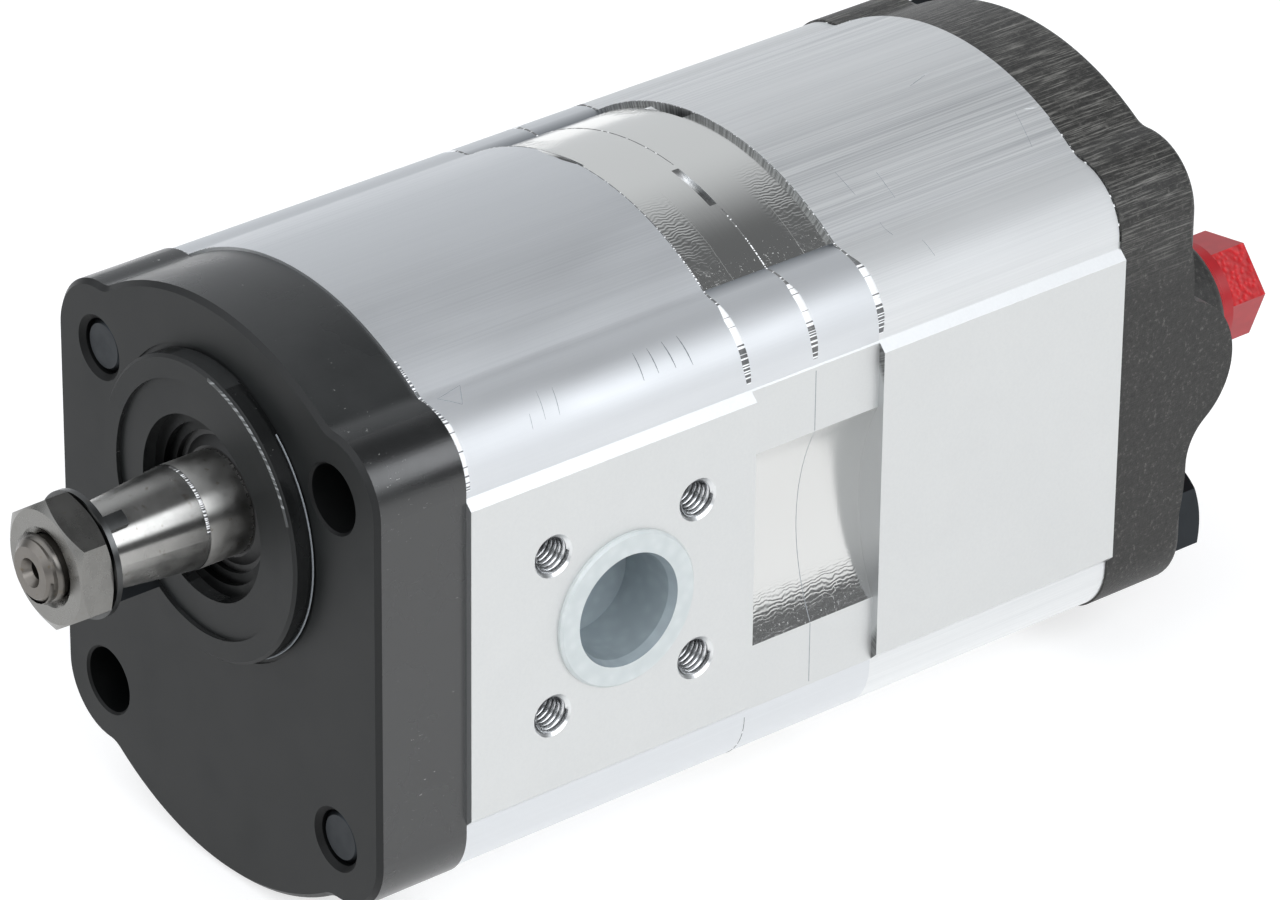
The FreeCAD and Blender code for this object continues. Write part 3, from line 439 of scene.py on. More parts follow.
# %% [markdown]
# The plates' arcs are milled too, with the side of a cutter, and stay bright as a mirror where
# the cut was clean. Where the cutter began to sing it left ripples across the arc. They are bump
# the cut was clean. Where the cutter began to sing it left ripples across the arc. They are bump
# along the way round the case, in one band on each plate. In the scallop they cross both plates,
# but lower. Each plate also has one long fine scratch round its arc, where the cutter was lifted
# off, and small matt curls where chips were dragged.

# %% Bright milled arc
SCRATCHES = [(plate_joint - 6.6 * MM, 0.20), (plate_back - 5.2 * MM, 0.32)]  # Y, first angle
RIPPLE = 0.65 * MM  # from one ripple to the next
SCALLOP_RIPPLES = 0.35  # their height beside that of the bands


def bright_arc(name, tone, ripples_from, flakes_from, banded=True):
    """Side-milled aluminium: feed lines, and ripples and flakes from two angles round the case on.

    Banded ripples keep to one strip of each plate, beside a scratch. The others cross both.
    """
    made, node, shader, point = new_material(name, tone, 1.0, 0.16)
    at = on_case(node, point)
    turned = node("Math ABSOLUTE", [at["angle"]])
    feed = grain(node, point, (40, 0.25, 40), 2.0)
    wander = grain(node, point, 2.5, 2.0)
    way = node("Math MULTIPLY", [at["angle"], 2 * math.pi * case_radius / RIPPLE])
    way = node("Math MULTIPLY_ADD", [wander, 22.0, way])
    ripple = node("Math SINE", [way])
    late = node("MapRange", [turned, ripples_from, ripples_from + 0.16])
    front = node("MapRange", [at["y"], plate_joint - 6.2 * MM, plate_joint - 7.6 * MM])
    rear = node("MapRange", [at["y"], plate_back - 7.0 * MM, plate_back - 4.6 * MM])
    bands = node("Math MAXIMUM", [front, rear]) if banded else SCALLOP_RIPPLES
    waves = node("Math MULTIPLY", [ripple, late])
    waves = node("Math MULTIPLY", [waves, bands])
    height = node("Math MULTIPLY_ADD", [waves, 2.0, feed])
    node("Bump", {"Height": height, "Distance": 0.006 * MM}, to=shader.inputs["Normal"])
    flake = grain(node, point, (0.6, 0.45, 0.6), 4.0, 0.7)
    more_below = node("MapRange", [turned, flakes_from, flakes_from + 0.14, 0.0, 0.14])
    flake = node("Math ADD", [flake, more_below])
    marks = node("MapRange", [flake, 0.76, 0.80])
    wobble = node("Math MULTIPLY_ADD", [wander, 0.5 * MM, at["y"]])
    for place, start in SCRATCHES if banded else ():
        line = node("Math COMPARE", [wobble, place + 0.25 * MM, 0.07 * MM])
        from_here = node("MapRange", [at["angle"], start, start + 0.04, 0.0, 0.4])
        line = node("Math MULTIPLY", [line, from_here])
        marks = node("Math MAXIMUM", [marks, line])
    node("MapRange", [marks, 0.0, 1.0, 0.15, 0.6], to=shader.inputs["Roughness"])
    return made


plate_arc = bright_arc("side_milled_aluminium", "#e1e1de", 0.20, 0.42)
scallop_milling = bright_arc("side_milled_scallop", "#d8d8d6", 1.68, 1.76, banded=False)
print("bright arc ready")

# %% [markdown]
# Three scoops are cut into the plates' rims, so that a lever can prise the stack apart. A scoop is
# a hollow mirror: it squeezes the whole bright room into its short length, and shows dark where it
# looks past the lamps. Its reflection is painted into its colour: the shades are laid along the way
# round the case, about each scoop's middle, so that they stay put from every side.

# %% Prising scoops
SCOOP_HALF = math.radians(6.6)
JOINT_SCOOP, FRONT_SCOOP, REAR_SCOOP = (math.radians(angle) for angle in (13.5, -8.5, -13.0))


def set_stops(ramp_node, stops):
    """Gives a colour ramp its stops: places from 0 to 1, each with a hex colour."""
    elements = ramp_node.color_ramp.elements
    while len(elements) < len(stops):
        elements.new(0.5)
    for element, (place, colour) in zip(elements, stops):
        element.position = place
        element.color = rgb(colour)

def painted_scoop_reflection(name, middle, stops):
    """Painted reflection in a hollow: a colour ramp over its angle about the case's middle, a bit
    ragged.
    """
    made, node, shader, point = new_material(name, "#c0c0be", 0.35, 0.25)
    angle = on_case(node, point)["angle"]
    along = node("MapRange", [angle, middle - SCOOP_HALF, middle + SCOOP_HALF])
    ragged = node("Math MULTIPLY_ADD", [grain(node, point, (1.5, 0.3, 1.5)), 0.12, along])
    set_stops(node("ValToRGB", [ragged], 0, shader.inputs["Base Color"]).node, stops)
    return made


# painted reflections, for the scoops' ends and for the middle one
end_shades = [(0.06, "#ffffff"), (0.30, "#dededc"), (0.55, "#b9b9b7"), (0.68, "#474746"),
              (1.0, "#3c3c3b")]
middle_shades = [(0.06, "#5c5c5b"), (0.18, "#767675"), (0.34, "#ffffff"), (0.52, "#a9a9a7"),
                 (0.66, "#3b3b3a"), (1.0, "#3f3f3e")]
joint_scoop = painted_scoop_reflection("scooped_aluminium_joint", JOINT_SCOOP, middle_shades)
front_scoop = painted_scoop_reflection("scooped_aluminium_front", FRONT_SCOOP, end_shades)
rear_scoop = painted_scoop_reflection("scooped_aluminium_rear", REAR_SCOOP, end_shades)
print("scoops ready")

# %% [markdown]
# The front cover is cast iron, machined and then phosphated: a dark, satin, slightly oily skin of
# iron oxide, whose high refractive index gives it stronger highlights than black paint. Its sides
# carry fine machining lines and small pale nicks where other parts have knocked against it. Its
# faced front and its bevel are duller. Its arcs on top take a paler copy of the finish, which is
# painted light where the lamp falls on them, and the walls of its holes are painted nearly black,
# as painted shade.

# %% Phosphated iron


def phosphated_iron(name, colour, worn, roughness, index, nick_share):
    """Black phosphated iron: satin and cloudy, with fine pits, lengthwise scores and pale nicks."""
    made, node, shader, point = new_material(name, colour, 0.0, roughness, IOR=index)
    cloud, fine = grain(node, point, 12), grain(node, point, 0.25)
    score = grain(node, point, (0.35, 5.0, 0.35), 4.0, 0.7)
    scratch = grain(node, point, (1.6, 1.2, 0.30), 4.0, 0.72)
    nick = node("Math MULTIPLY_ADD", [grain(node, point, 9, 1.0), 0.25, scratch])
    nick = node("MapRange", [nick, 0.83, 0.87, 0.0, nick_share])
    cloudy = node("MapRange", [cloud, 0.35, 0.65])
    tone = node("Mix RGBA", {0: cloudy, 6: colour, 7: worn}, 2)
    skin = node("Mix", {0: nick_share, 2: fine, 3: score})
    coat(node, shader, nick, (tone, "#b9b9b5"), skin, 0.014,
         (cloud, roughness - 0.05, roughness + 0.05))
    return made


# painted light: the arcs on top are a paler copy, where the lamp falls on them
cover_painted_lit_top = phosphated_iron("phosphated_iron_painted_lit_top", "#2b2c2c", "#313232", 0.30, 1.42, 0.7)
cover_face = phosphated_iron("phosphated_iron_face", "#121414", "#181a1a", 0.42, 1.33, 0.0)
cover_side = phosphated_iron("phosphated_iron_side", "#121313", "#181919", 0.26, 1.80, 0.8)
# painted shade: the walls of the corner holes are nearly black
cover_painted_shade_bore = phosphated_iron("phosphated_iron_painted_shade_bore", "#050606", "#0a0b0b", 0.5, 1.3, 0.0)
cover_edge = phosphated_iron("phosphated_iron_edge", "#121313", "#181919", 0.45, 1.4, 0.0)
print("phosphated iron ready")

# %% [markdown]
# The rear cover is the same iron with a rough cast skin under the black. Saw-like lines run
# along it, and near the top they are paler.

# %% Black casting


def black_casting(name):
    """A black painted casting: lengthwise draw lines, paler near the top, sandy grain and pale
    flecks.
    """
    made, node, shader, point = new_material(name, "#2b2a29", 0.0, 0.5, IOR=1.5)
    lines = grain(node, point, (0.34, 9, 0.34), 5.0, 0.75)
    sand = grain(node, point, 0.8, 4.0, 0.72)
    upper = node("MapRange", [on_case(node, point)["up"], 18 * MM, 30 * MM])
    # the lines are paler near the top
    pale_top_lines = node("MapRange", [lines, 0.50, 0.66, 0.0, 0.5])
    pale_top_lines = node("Math MULTIPLY", [pale_top_lines, upper])
    fleck = node("MapRange", [sand, 0.58, 0.70, 0.0, 0.22])
    pale = node("Math MAXIMUM", [pale_top_lines, fleck])
    tone = node("Mix RGBA", {0: node("MapRange", [sand, 0.3, 0.7]), 6: "#191817",
                             7: "#33322f"}, 2)
    skin = node("Mix", {0: 0.6, 2: lines, 3: sand})
    coat(node, shader, pale, (tone, "#a09e98"), skin, 0.16)
    return made


casting = black_casting("black_painted_casting")
print("casting ready")

# %% [markdown]
# Steel comes in several finishes: the shaft, bright where it was ground and duller on its worn
# thread, the plated nut and the plain washer, the black-oxided bolts and key, and the dull inner
# parts. Turning and grinding leave fine grooves round the axis, which throw the light out along
# it, so the smear is turned a quarter from that of the bodies.

# %% Steels


def steel(name, colour, roughness, line_mm, line_depth, stain, smear=0.0):
    """Turned or ground steel: lines round the Y axis, a little stain and cloudiness."""
    made, node, shader, point = new_material(name, colour, 1.0, roughness, **{
        "Anisotropic": smear, "Anisotropic Rotation": 0.25})
    lines, cloud = grain(node, point, (30, line_mm, 30)), grain(node, point, 3)
    spots = node("MapRange", [grain(node, point, 1.2, 4.0), 0.62, 0.70, 0.0, stain])
    coat(node, shader, spots, (colour, "#6a5a3c"), lines, line_depth,
         (cloud, roughness * 0.85, roughness * 1.25))
    if smear:
        smear_round(node, shader)
    return made


# ground: a clear, narrow smear of light, softer where the wheel ran out beside the bore
ground_steel = steel("ground_steel", "#a9a8a5", 0.22, 0.18, 0.002, 0.35, 0.8)
run_out_steel = steel("run_out_ground_steel", "#a3a29f", 0.34, 0.18, 0.001, 0.35, 0.85)
# cut and worn: dull, a little brown
worn_steel = steel("worn_thread_steel", "#77736e", 0.34, 0.30, 0.006, 0.4)
# zinc plating: greyer, with a soft smear; the washer darker, as painted shade behind the nut
plated_steel = steel("zinc_plated_steel", "#858481", 0.26, 0.30, 0.006, 0.1, 0.4)
washer_painted_shade = steel("sheet_painted_shade", "#5c5d5d", 0.30, 0.30, 0.006, 0.1)
# black oxide: almost no colour, yet metal in its highlights
black_steel = steel("black_oxide_steel", "#34373a", 0.38, 0.30, 0.004, 0.0)
# parts that live in oil: even and dull; the seal's case and ring painted nearly black as shade
inner_steel = steel("dull_steel", "#8c8c8a", 0.4, 0.30, 0.004, 0.2)
pocket_painted_shade = steel("painted_shade_seal_steel", "#1b1c1c", 0.35, 0.30, 0.004, 0.0)
print("steels ready")

# %% [markdown]
# Plastics and rubbers remain: the translucent polyethylene caps, which let some light through and
# look whiter on their rims, the red moulded plug, smooth but for two facets with a fine leather
# grain, and black nitrile rubber. The cells of the grain are darker between them. The inner
# bushes are sintered bronze.

# %% Plastics, rubber and bronze


def moulded(name, colour, darker, roughness, cell_mm, depth, **more):
    """A moulded soft plastic or rubber: fine rounded cells all over, darker between them."""
    made, node, shader, point = new_material(name, colour, 0.0, roughness,
                                             **{"IOR": 1.5, **more})
    cells = node("TexVoronoi", {"Vector": point, "Scale": 1 / (cell_mm * MM)},
                 feature="SMOOTH_F1")
    coat(node, shader, node("MapRange", [cells, 0.15, 0.60]), (colour, darker), cells, depth)
    return made


clear_plastic = moulded("translucent_polyethylene", "#b7c3c8", "#aebabf", 0.26, 2.0, 0.006,
                        **{"Transmission Weight": 0.3})
rim_plastic = moulded("translucent_polyethylene_rim", "#dbe0df", "#d2d8d7", 0.30, 2.0, 0.004,
                      **{"Transmission Weight": 0.1})
red_plastic = moulded("red_polyethylene_grained", "#cf1f25", "#b1171d", 0.34, 0.8, 0.14,
                      IOR=1.4)
red_smooth = moulded("red_polyethylene_smooth", "#b2242b", "#a92128", 0.34, 2.0, 0.003, IOR=1.45)
rubber = moulded("nitrile_rubber", "#111111", "#0c0c0c", 0.45, 0.3, 0.004)
bronze = steel("sintered_bronze", "#a67c45", 0.4, 0.3, 0.004, 0.0)
print("plastics ready")

# %% [markdown]
# Each solid now gets its finishes. A solid's faces are sorted with whole arrays: their middles
# and directions tell a milled port face from the drawn side beside it, and a bore from a rim.
# Every zone has a name and a mask, which is true for the faces that lie in it.

# %% Zones of the solids
SCALLOP_RADIUS, SCALLOP_FLOOR = 39 * MM, 37 * MM
SCALLOP_HALF = math.sqrt(SCALLOP_RADIUS ** 2 - (SCALLOP_RADIUS + SCALLOP_FLOOR - plate_face) ** 2)
PLUG_FACET = math.radians(39.3)
plug_end = span("rear_plug", 1)[1]


def zones(mesh):
    """Masks on a mesh's faces, by the names of the zones that they lie in."""
    middles, normals = np.zeros((2, len(mesh.polygons) * 3))
    mesh.polygons.foreach_get("center", middles)
    mesh.polygons.foreach_get("normal", normals)
    x, y, z = middles.reshape(-1, 3).T
    side, ahead, above = normals.reshape(-1, 3).T
    width, height, lean = np.abs(x), np.abs(z - case_middle), np.abs(side)
    radius, outward = np.hypot(width, height), np.abs(ahead) < 0.5
    crown = np.arctan2(width, height) < CROWN_END
    depth = plate_radius - radius
    scoops = crown & (depth > 0.1 * MM) & (depth < 1.6 * MM) & outward
    grained = np.abs(side * math.cos(PLUG_FACET) + above * math.sin(PLUG_FACET)) > 0.97
    hole = np.hypot(width - bolt_half, height - bolt_half)
    return {
        # faces that look along the shaft, those towards the nut, and the bevel behind those
        "ends": np.abs(ahead) > 0.99, "front": ahead < -0.99,
        "bevel": (ahead < -0.3) & (ahead > -0.95),
        # the flat milled sides, and the slanted edges above and below them
        "sides": (lean > 0.96) & (height < 28.9 * MM),
        "slants": (lean > 0.5) & (lean < 0.9) & (width > 40.76 * MM),
        # the wide hollow that is milled across the plates' sides
        "scallop": (width > 36.5 * MM) & (width < 40.97 * MM) & (height < SCALLOP_HALF) & outward,
        # the plates' arcs, and the cover's with the first part of its ears
        "arcs": crown & (depth < 0.3 * MM) & outward,
        "crowns": ((np.abs(above) > 0.96) | crown & (radius > 49 * MM)) & outward,
        # the hollows in the plates' rims, which lie a little inside the arcs
        "scoops": scoops, "left_scoop": scoops & (x < 0), "right_scoop": scoops & (x > 0),
        # the shaft's length between its taper and the seal, and its end beyond the taper
        "beside_bore": (y > -7.1 * MM) & (y < 2 * MM), "thread_end": y < -24.6 * MM,
        "corner_holes": (hole < 6.4 * MM) & (np.abs(ahead) < 0.9),
        # a cap's rim, outside the port face, but not the slanted mouth inside it
        "cap_rim": (width > port_face - 0.2 * MM) & ((lean > 0.6) | (lean < 0.2)),
        # the two opposite facets of the plug's hexagon that were grained in the mould
        "plug_facets": grained & (y > plug_end - 7.6 * MM),
    }


print("zones", ", ".join(zones(nodes["rear_plug"].data)))

# %% [markdown]
# A CAD piece keeps its mesh and only gets slots. The base finish goes to all its faces first, and
# each zone then takes its own, so a later zone lies on top of an earlier one.

# %% Paint the solids


def paint(node, base, **zoned):
    """Gives a node its base finish, and each named zone its own."""
    mesh = nodes[node].data
    mesh.materials.clear()
    mesh.materials.append(base)
    index, masks = np.zeros(len(mesh.polygons), np.int32), zones(mesh)
    for number, (zone, finish) in enumerate(zoned.items(), 1):
        mesh.materials.append(finish)
        index[masks[zone]] = number
    mesh.polygons.foreach_set("material_index", index)


flats = {"sides": port_milling, "slants": edge_milling, "ends": end_milling}
plates = {**flats, "scallop": scallop_milling, "arcs": plate_arc}
paint("front_cover", cover_side, crowns=cover_painted_lit_top, ends=cover_face, bevel=cover_edge,
      corner_holes=cover_painted_shade_bore)
paint("front_body", front_extrusion, **flats)
paint("rear_body", rear_extrusion, **flats, front=rim_teeth_painted_shade)
paint("front_adapter_plate", plate_extrusion, **plates, left_scoop=front_scoop,
      right_scoop=joint_scoop)
paint("rear_adapter_plate", plate_extrusion, **plates, scoops=rear_scoop)
paint("front_drive_shaft", ground_steel, beside_bore=run_out_steel, thread_end=worn_steel)
paint("rear_plug", red_smooth, plug_facets=red_plastic)
paint("outlet_cap", clear_plastic, cap_rim=rim_plastic)
paint("inlet_cap", clear_plastic, cap_rim=rim_plastic)
for finish, starts in (
    (casting, ("rear_cover",)), (washer_painted_shade, ("tab_washer",)), (plated_steel, ("shaft_nut",)),
    (black_steel, ("woodruff_key", "upper_clamp_bolt", "lower_clamp_bolt")),
    (inner_steel, ("rear_drive_shaft", "front_idler_gear", "rear_idler_gear", "shaft_coupling",
                   "garter_spring", "dowel_pins")),
    (pocket_painted_shade, ("seal_case", "seal_snap_ring")), (end_milling, ("bearing_block",)),
    (rubber, ("seal_lip", "joint_seals", "block_seal")), (bronze, ("bearing_bushes",)),
):
    for name in nodes:
        if name.startswith(starts):
            paint(name, finish)
print("painted", sum(len(node.data.materials) for node in nodes.values()), "finishes")

# %% [markdown]
# The small forms come next, and they are all grids of points. One function turns a stack of grids
# into a mesh: it joins each point to its neighbours, and writes each point's place along and
# across its grid into a UV map, which the finishes read. Where grids meet, as in the seam of a full
# turn, their points are merged.

# %% Grids into meshes


def build(name, grids, finish, body="housing", along=None, flips=None):
    """A mesh from grids of points (count, rows, columns, 3), flipped where it would look in."""
    grids = np.asarray(grids, float)
    count, rows, columns = grids.shape[:3]
    base = np.arange(rows * columns).reshape(rows, columns)
    quads = np.stack([base[:-1, :-1], base[1:, :-1], base[1:, 1:], base[:-1, 1:]], -1)
    quads = quads.reshape(1, -1, 4) + np.arange(count)[:, None, None] * rows * columns
    if flips is not None:
        quads = np.where(np.asarray(flips)[:, None, None], quads[..., ::-1], quads)
    quads = quads.reshape(-1, 4)
    mesh = bpy.data.meshes.new(name)
    mesh.from_pydata(grids.reshape(-1, 3).tolist(), [], quads.tolist())
    if along is not None:
        flat = np.asarray(along, float).reshape(-1, 2)
        layer = mesh.uv_layers.new(name="way")
        layer.data.foreach_set("uv", flat[quads.ravel()].ravel())
    surface = bmesh.new()
    surface.from_mesh(mesh)
    bmesh.ops.remove_doubles(surface, verts=surface.verts, dist=0.0001 * MM)
    surface.to_mesh(mesh)
    surface.free()
    mesh.shade_smooth()
    mesh.materials.append(finish)
    piece = place_in_scene(name, mesh)
    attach(piece, body)
    print(name, len(quads), "faces")
    return piece


# %% [markdown]
# The edges of the stack's joints were cut by a cutter that sang. Each joint shows as a fine line
# of steps, some dark and some white. The white steps are painted glints, thickest in the ears'
# turn, where they flash. The case's outline is worked out once, then a narrow band is carried along
# it, just proud of the surface, and mirrored into the four quarters.

# %% The case's outline
EAR_HALF = 40.75 * MM
CASE_BLEND, PLATE_BLEND = 4.0 * MM, 0.5 * MM


def case_outline(radius, blend_radius):
    """The upper right quarter of the case's outline, from the top to the flat side.

    A big arc r (sin t, cos t) about the case's middle runs up to the hollow. The hollow
    c - b (sin t, cos t) leads t back to the ear, and the ear e + a (sin t, cos t) ends at the flat.
    Gives the way along, across, up and t, as four arrays.
    """
    ear, far = EAR_HALF - bolt_half, bolt_half * math.sqrt(2)
    reach, ear_reach = radius + blend_radius, ear + blend_radius
    swing = math.acos((far ** 2 + reach ** 2 - ear_reach ** 2) / (2 * far * reach))
    crown_end = math.pi / 4 - swing
    hollow_x, hollow_z = reach * math.sin(crown_end), reach * math.cos(crown_end)
    ear_start = math.atan2(hollow_x - bolt_half, hollow_z - bolt_half)
    arcs = []
    for x, z, size, start, end, count in (
        (0, 0, radius, 0, crown_end, 160),
        (hollow_x, hollow_z, -blend_radius, crown_end, ear_start, 20),
        (bolt_half, bolt_half, ear, ear_start, math.pi / 2, 80),
    ):
        turn = np.linspace(start, end, count)[int(start > 0):]
        arcs.append([x + size * np.sin(turn), z + size * np.cos(turn), turn])
    across, up, turn = np.concatenate(arcs, 1)
    way = np.concatenate([[0], np.cumsum(np.hypot(np.diff(across), np.diff(up)))])
    return way, across, up, turn


def on_outline(outline, way, y, lift):
    """Points over the case: the outline's place at a way along it, moved out by a lift, at a Y."""
    across, up, turn = (np.interp(way, outline[0], values) for values in outline[1:])
    return np.stack([across + lift * np.sin(turn), y + 0 * way,
                     case_middle + up + lift * np.cos(turn)], -1)


body_outline = case_outline(case_radius, CASE_BLEND)
plate_outline = case_outline(plate_radius, PLATE_BLEND)
print("outline", round(body_outline[0][-1] / MM, 1), "mm to the flat side")

# %% [markdown]
# The steps' finish is a noise along the band, cut at a level that follows the ramp: where the ramp
# is light most steps are painted white as glints, and where it is dark few are.

# %% Chattered edges with painted glints
OUTLINE_SCALE = 50 * MM  # what 1 in the UV map stands for
BAND_STEP = 0.15  # millimetres
BAND_RIM, BAND_DIP, BAND_LIFT = 0.05 * MM, -0.06 * MM, 0.04 * MM


def stepped_edge_glints(name, dark, step_mm, glints, bright="#ffffff", detail=0.0):
    """Steps along an edge. Glints are (millimetres along the outline, share of steps painted as
    glints).
    """
    made, node, shader = new_material(name, dark, 0.0, 0.5)[:3]
    way = node("UVMap", out="UV", uv_map="way")
    along = node("SeparateXYZ", [way], out=0)
    steps = node("TexNoise", {"W": along, "Scale": OUTLINE_SCALE / (step_mm * MM),
                              "Detail": detail}, noise_dimensions="1D")
    ramp = node("ValToRGB", [along])
    set_stops(ramp.node, [(mm * MM / OUTLINE_SCALE, "#" + 3 * f"{int(255 * share):02x}")
                          for mm, share in glints])
    level = node("Math MULTIPLY_ADD", [ramp, 0.45, steps])
    # painted glints: the white steps
    white = node("MapRange", [level, 0.66, 0.70])
    node("Mix RGBA", {0: white, 6: dark, 7: bright}, 2, shader.inputs["Base Color"])
    return made


def edge_band(name, widths, before, y, finish, mirrors=((1, 1), (-1, 1))):
    """A band along the outline at a joint's Y. Widths are (way along, width), in millimetres.

    Before is the share of the width in front of the joint. Across the band the lift is low, high,
    high, low, so that its rims dip into the case. The quarter is mirrored left or down. A quarter
    that is mirrored once would look in, so its faces are turned round.
    """
    outline = plate_outline if y == plate_joint else body_outline
    way = np.arange(widths[0][0], widths[-1][0], BAND_STEP)[:, None] * MM
    width = np.interp(way, *np.array(widths).T * MM)
    front, back = -before * width, (1 - before) * width
    places = y + np.concatenate([front, front + BAND_RIM, back - BAND_RIM, back], 1)
    lifts = np.array([[BAND_DIP, BAND_LIFT, BAND_LIFT, BAND_DIP]])
    way = way + 0 * places
    band = on_outline(outline, way, places, lifts)
    centre = np.array([0, 0, case_middle])
    grids = [(band - centre) * (across, 1, up) + centre for across, up in mirrors]
    share = np.stack([way / OUTLINE_SCALE, 0 * way + [[0, 0.1, 0.9, 1]]], -1)
    return build(name, grids, finish, along=[share] * len(grids),
                 flips=[across * up < 0 for across, up in mirrors])


cover_joint_steps = stepped_edge_glints(
    "stepped_edge_glints_cover", "#6a6d6f", 0.35,
    [(24, 0.6), (30, 0.6), (33, 0.3), (37, 0.7), (41, 1.0), (49, 0.8)])
front_joint_steps = stepped_edge_glints(
    "stepped_edge_glints_front", "#626363", 0.35,
    [(18, 0.1), (24, 0.6), (30, 0.7), (31, 0.05), (34.5, 0.15), (36, 0.95), (42, 0.95),
     (43.5, 0.5), (48, 0.55)])
plate_joint_steps = stepped_edge_glints(
    "stepped_edge_glints_plates", "#6a6a69", 0.38,
    [(0, 0.0), (19, 0.05), (24, 0.3), (26, 0.8), (29.5, 0.8), (31, 0.05), (35, 0.15), (37, 0.95),
     (42, 0.95), (44, 0.55), (48, 0.55)])
rear_joint_steps = stepped_edge_glints(
    "stepped_edge_glints_rear", "#686969", 0.35,
    [(0, 0.0), (26, 0.1), (31, 0.05), (36, 0.2), (39, 0.95), (43, 0.9), (45, 0.4), (48, 0.4)])
# painted shade: a dark line standing for the shaded gap in a joint
joint_gap_shade = stepped_edge_glints("joint_gap_painted_shade", "#262626", 0.8, [(0, 0.0), (49, 0.0)])
EAR_WIDTHS = [(30, 0.3), (35, 0.5), (38, 1.4), (46, 1.4), (49.3, 0.8)]
LEFT, BELOW = [(-1, 1)], [(1, -1), (-1, -1)]
for band in (
    ("cover_joint_edge", [(24, 0.5), (34, 0.6), (38, 1.2), (49.5, 1.0)], 0, cover_back,
     cover_joint_steps),
    ("front_joint_edge", [(0, 0.15), (20, 0.22), *EAR_WIDTHS], 1, body_back, front_joint_steps),
    ("plate_joint_edge", [(17.8, 0.3), *EAR_WIDTHS], 0.5, plate_joint, plate_joint_steps),
    ("plate_joint_line", [(0, 0.14), (5.6, 0.14)], 0.5, plate_joint, joint_gap_shade),
    ("plate_joint_line_far", [(5.6, 0.14), (17.8, 0.14)], 0.5, plate_joint, joint_gap_shade, LEFT),
    ("rear_joint_edge", [(0, 0.12), *EAR_WIDTHS], 0, plate_back, rear_joint_steps),
    ("rear_cover_joint_edge", [(24, 0.25), (49.5, 0.25)], 1, rear_body_back, joint_gap_shade),
    ("front_scoop_glint", [(2.4, 0.3), (5, 0.9), (10, 0.9), (12.6, 0.3)], 1, body_back,
     front_scoop, LEFT),
    ("lower_joint_lines", [(31, 0.12), (49.3, 0.12)], 1, body_back, joint_gap_shade, BELOW),
):
    edge_band(*band)

# %% [markdown]
# A fitter scribed short ticks across the front body's shoulder, and the drawn skin has picked up
# hair-thin scratches. Each is a low ridge over the surface: a line between two places on the
# outline, widened to both sides and pointed at its ends, and dark or bright by its finish. The
# bright ones are white, a painted glint.

# %% Scribed ticks and scratches
MARK_POINTS = 17  # along each mark


def surface_marks(name, marks, finish):
    """Thin strips over the bodies, each from (way, y) to (way, y) in millimetres, with a width.

    Across a strip stand three points: the rims lie just under the surface and the middle over it.
    """
    start, end, width = np.split(np.array(marks)[:, None] * MM, [2, 4], -1)
    share = np.linspace(0, 1, MARK_POINTS)[:, None]
    line = start + (end - start) * share
    run = (end - start) / np.linalg.norm(end - start, axis=-1, keepdims=True)
    aside = run[..., ::-1] * (-1, 1)
    across = np.array([-1, 0, 1])
    half = width / 2 * np.sqrt(np.sin(np.pi * (0.02 + 0.96 * share)))
    places = line[:, :, None] + (half * across)[..., None] * aside[:, :, None]
    lifts = np.array([-0.03, 0.05, -0.03]) * MM
    grids = on_outline(body_outline, places[..., 0], places[..., 1], lifts)
    along = np.stack(np.broadcast_arrays(share, 0.5 + 0.5 * across), -1)
    return build(name, grids, finish, along=[along] * len(marks))


def scribed(name, colour):
    """A scratch's finish: one tone with fine breaks along it, matt."""
    made, node, shader, point = new_material(name, colour, 0.0, 0.6)
    breaks = grain(node, point, 0.5)
    node("Mix RGBA", {0: breaks, 6: colour, 7: "#8e9398"}, 2, shader.inputs["Base Color"])
    return made


dark_scratch = scribed("scribed_line", "#565b60")
faint_scratch = scribed("faint_scribed_line", "#9aa0a6")
# painted glint: these scratches are white where they catch the light
glint_painted_scratch = scribed("glint_painted_scratch", "#ffffff")
for name, finish, marks in (
    ("scribed_ticks", dark_scratch,
     [(37.6, 53.2, 42.3, 52.8, 0.24), (37.7, 55.9, 42.0, 55.8, 0.24),
      (37.5, 58.9, 42.2, 59.1, 0.28), (37.5, 61.9, 42.7, 62.2, 0.28)]),
    ("faint_ticks", faint_scratch,
     [(37.8, 34.4, 42.5, 33.6, 0.15), (38.2, 37.2, 42.6, 36.3, 0.18),
      (40.8, 31.3, 43.2, 30.9, 0.12), (32.6, 19.4, 31.6, 24.5, 0.18),
      (31.6, 24.5, 35.5, 22.0, 0.18), (35.5, 22.0, 32.6, 19.4, 0.14)]),
    ("hairline_scratches", faint_scratch,
     [(20.7, 143.8, 27.7, 142.1, 0.10), (19.6, 107.0, 24.8, 107.3, 0.10),
      (22.2, 113.5, 27.7, 113.4, 0.10), (30.6, 108.2, 34.0, 108.2, 0.10),
      (36.9, 111.9, 40.2, 112.3, 0.10), (8.1, 131.9, 6.9, 136.0, 0.16)]),
    ("glint_painted_scratches", glint_painted_scratch,
     [(6.9, 135.2, 6.4, 138.6, 0.16), (20.7, 145.7, 21.3, 148.0, 0.30)]),
):
    surface_marks(name, marks, finish)

# %% [markdown]
# The solids leave screw threads out. A thread here is a low ridge wound as a helix: a triangle
# carried round the axis, climbing one pitch a turn, and sinking into the wall at both ends.

# %% Screw threads
THREAD_DIP, THREAD_HALF = 0.03 * MM, 0.46  # the second is a share of the pitch
STEPS_A_TURN = 24


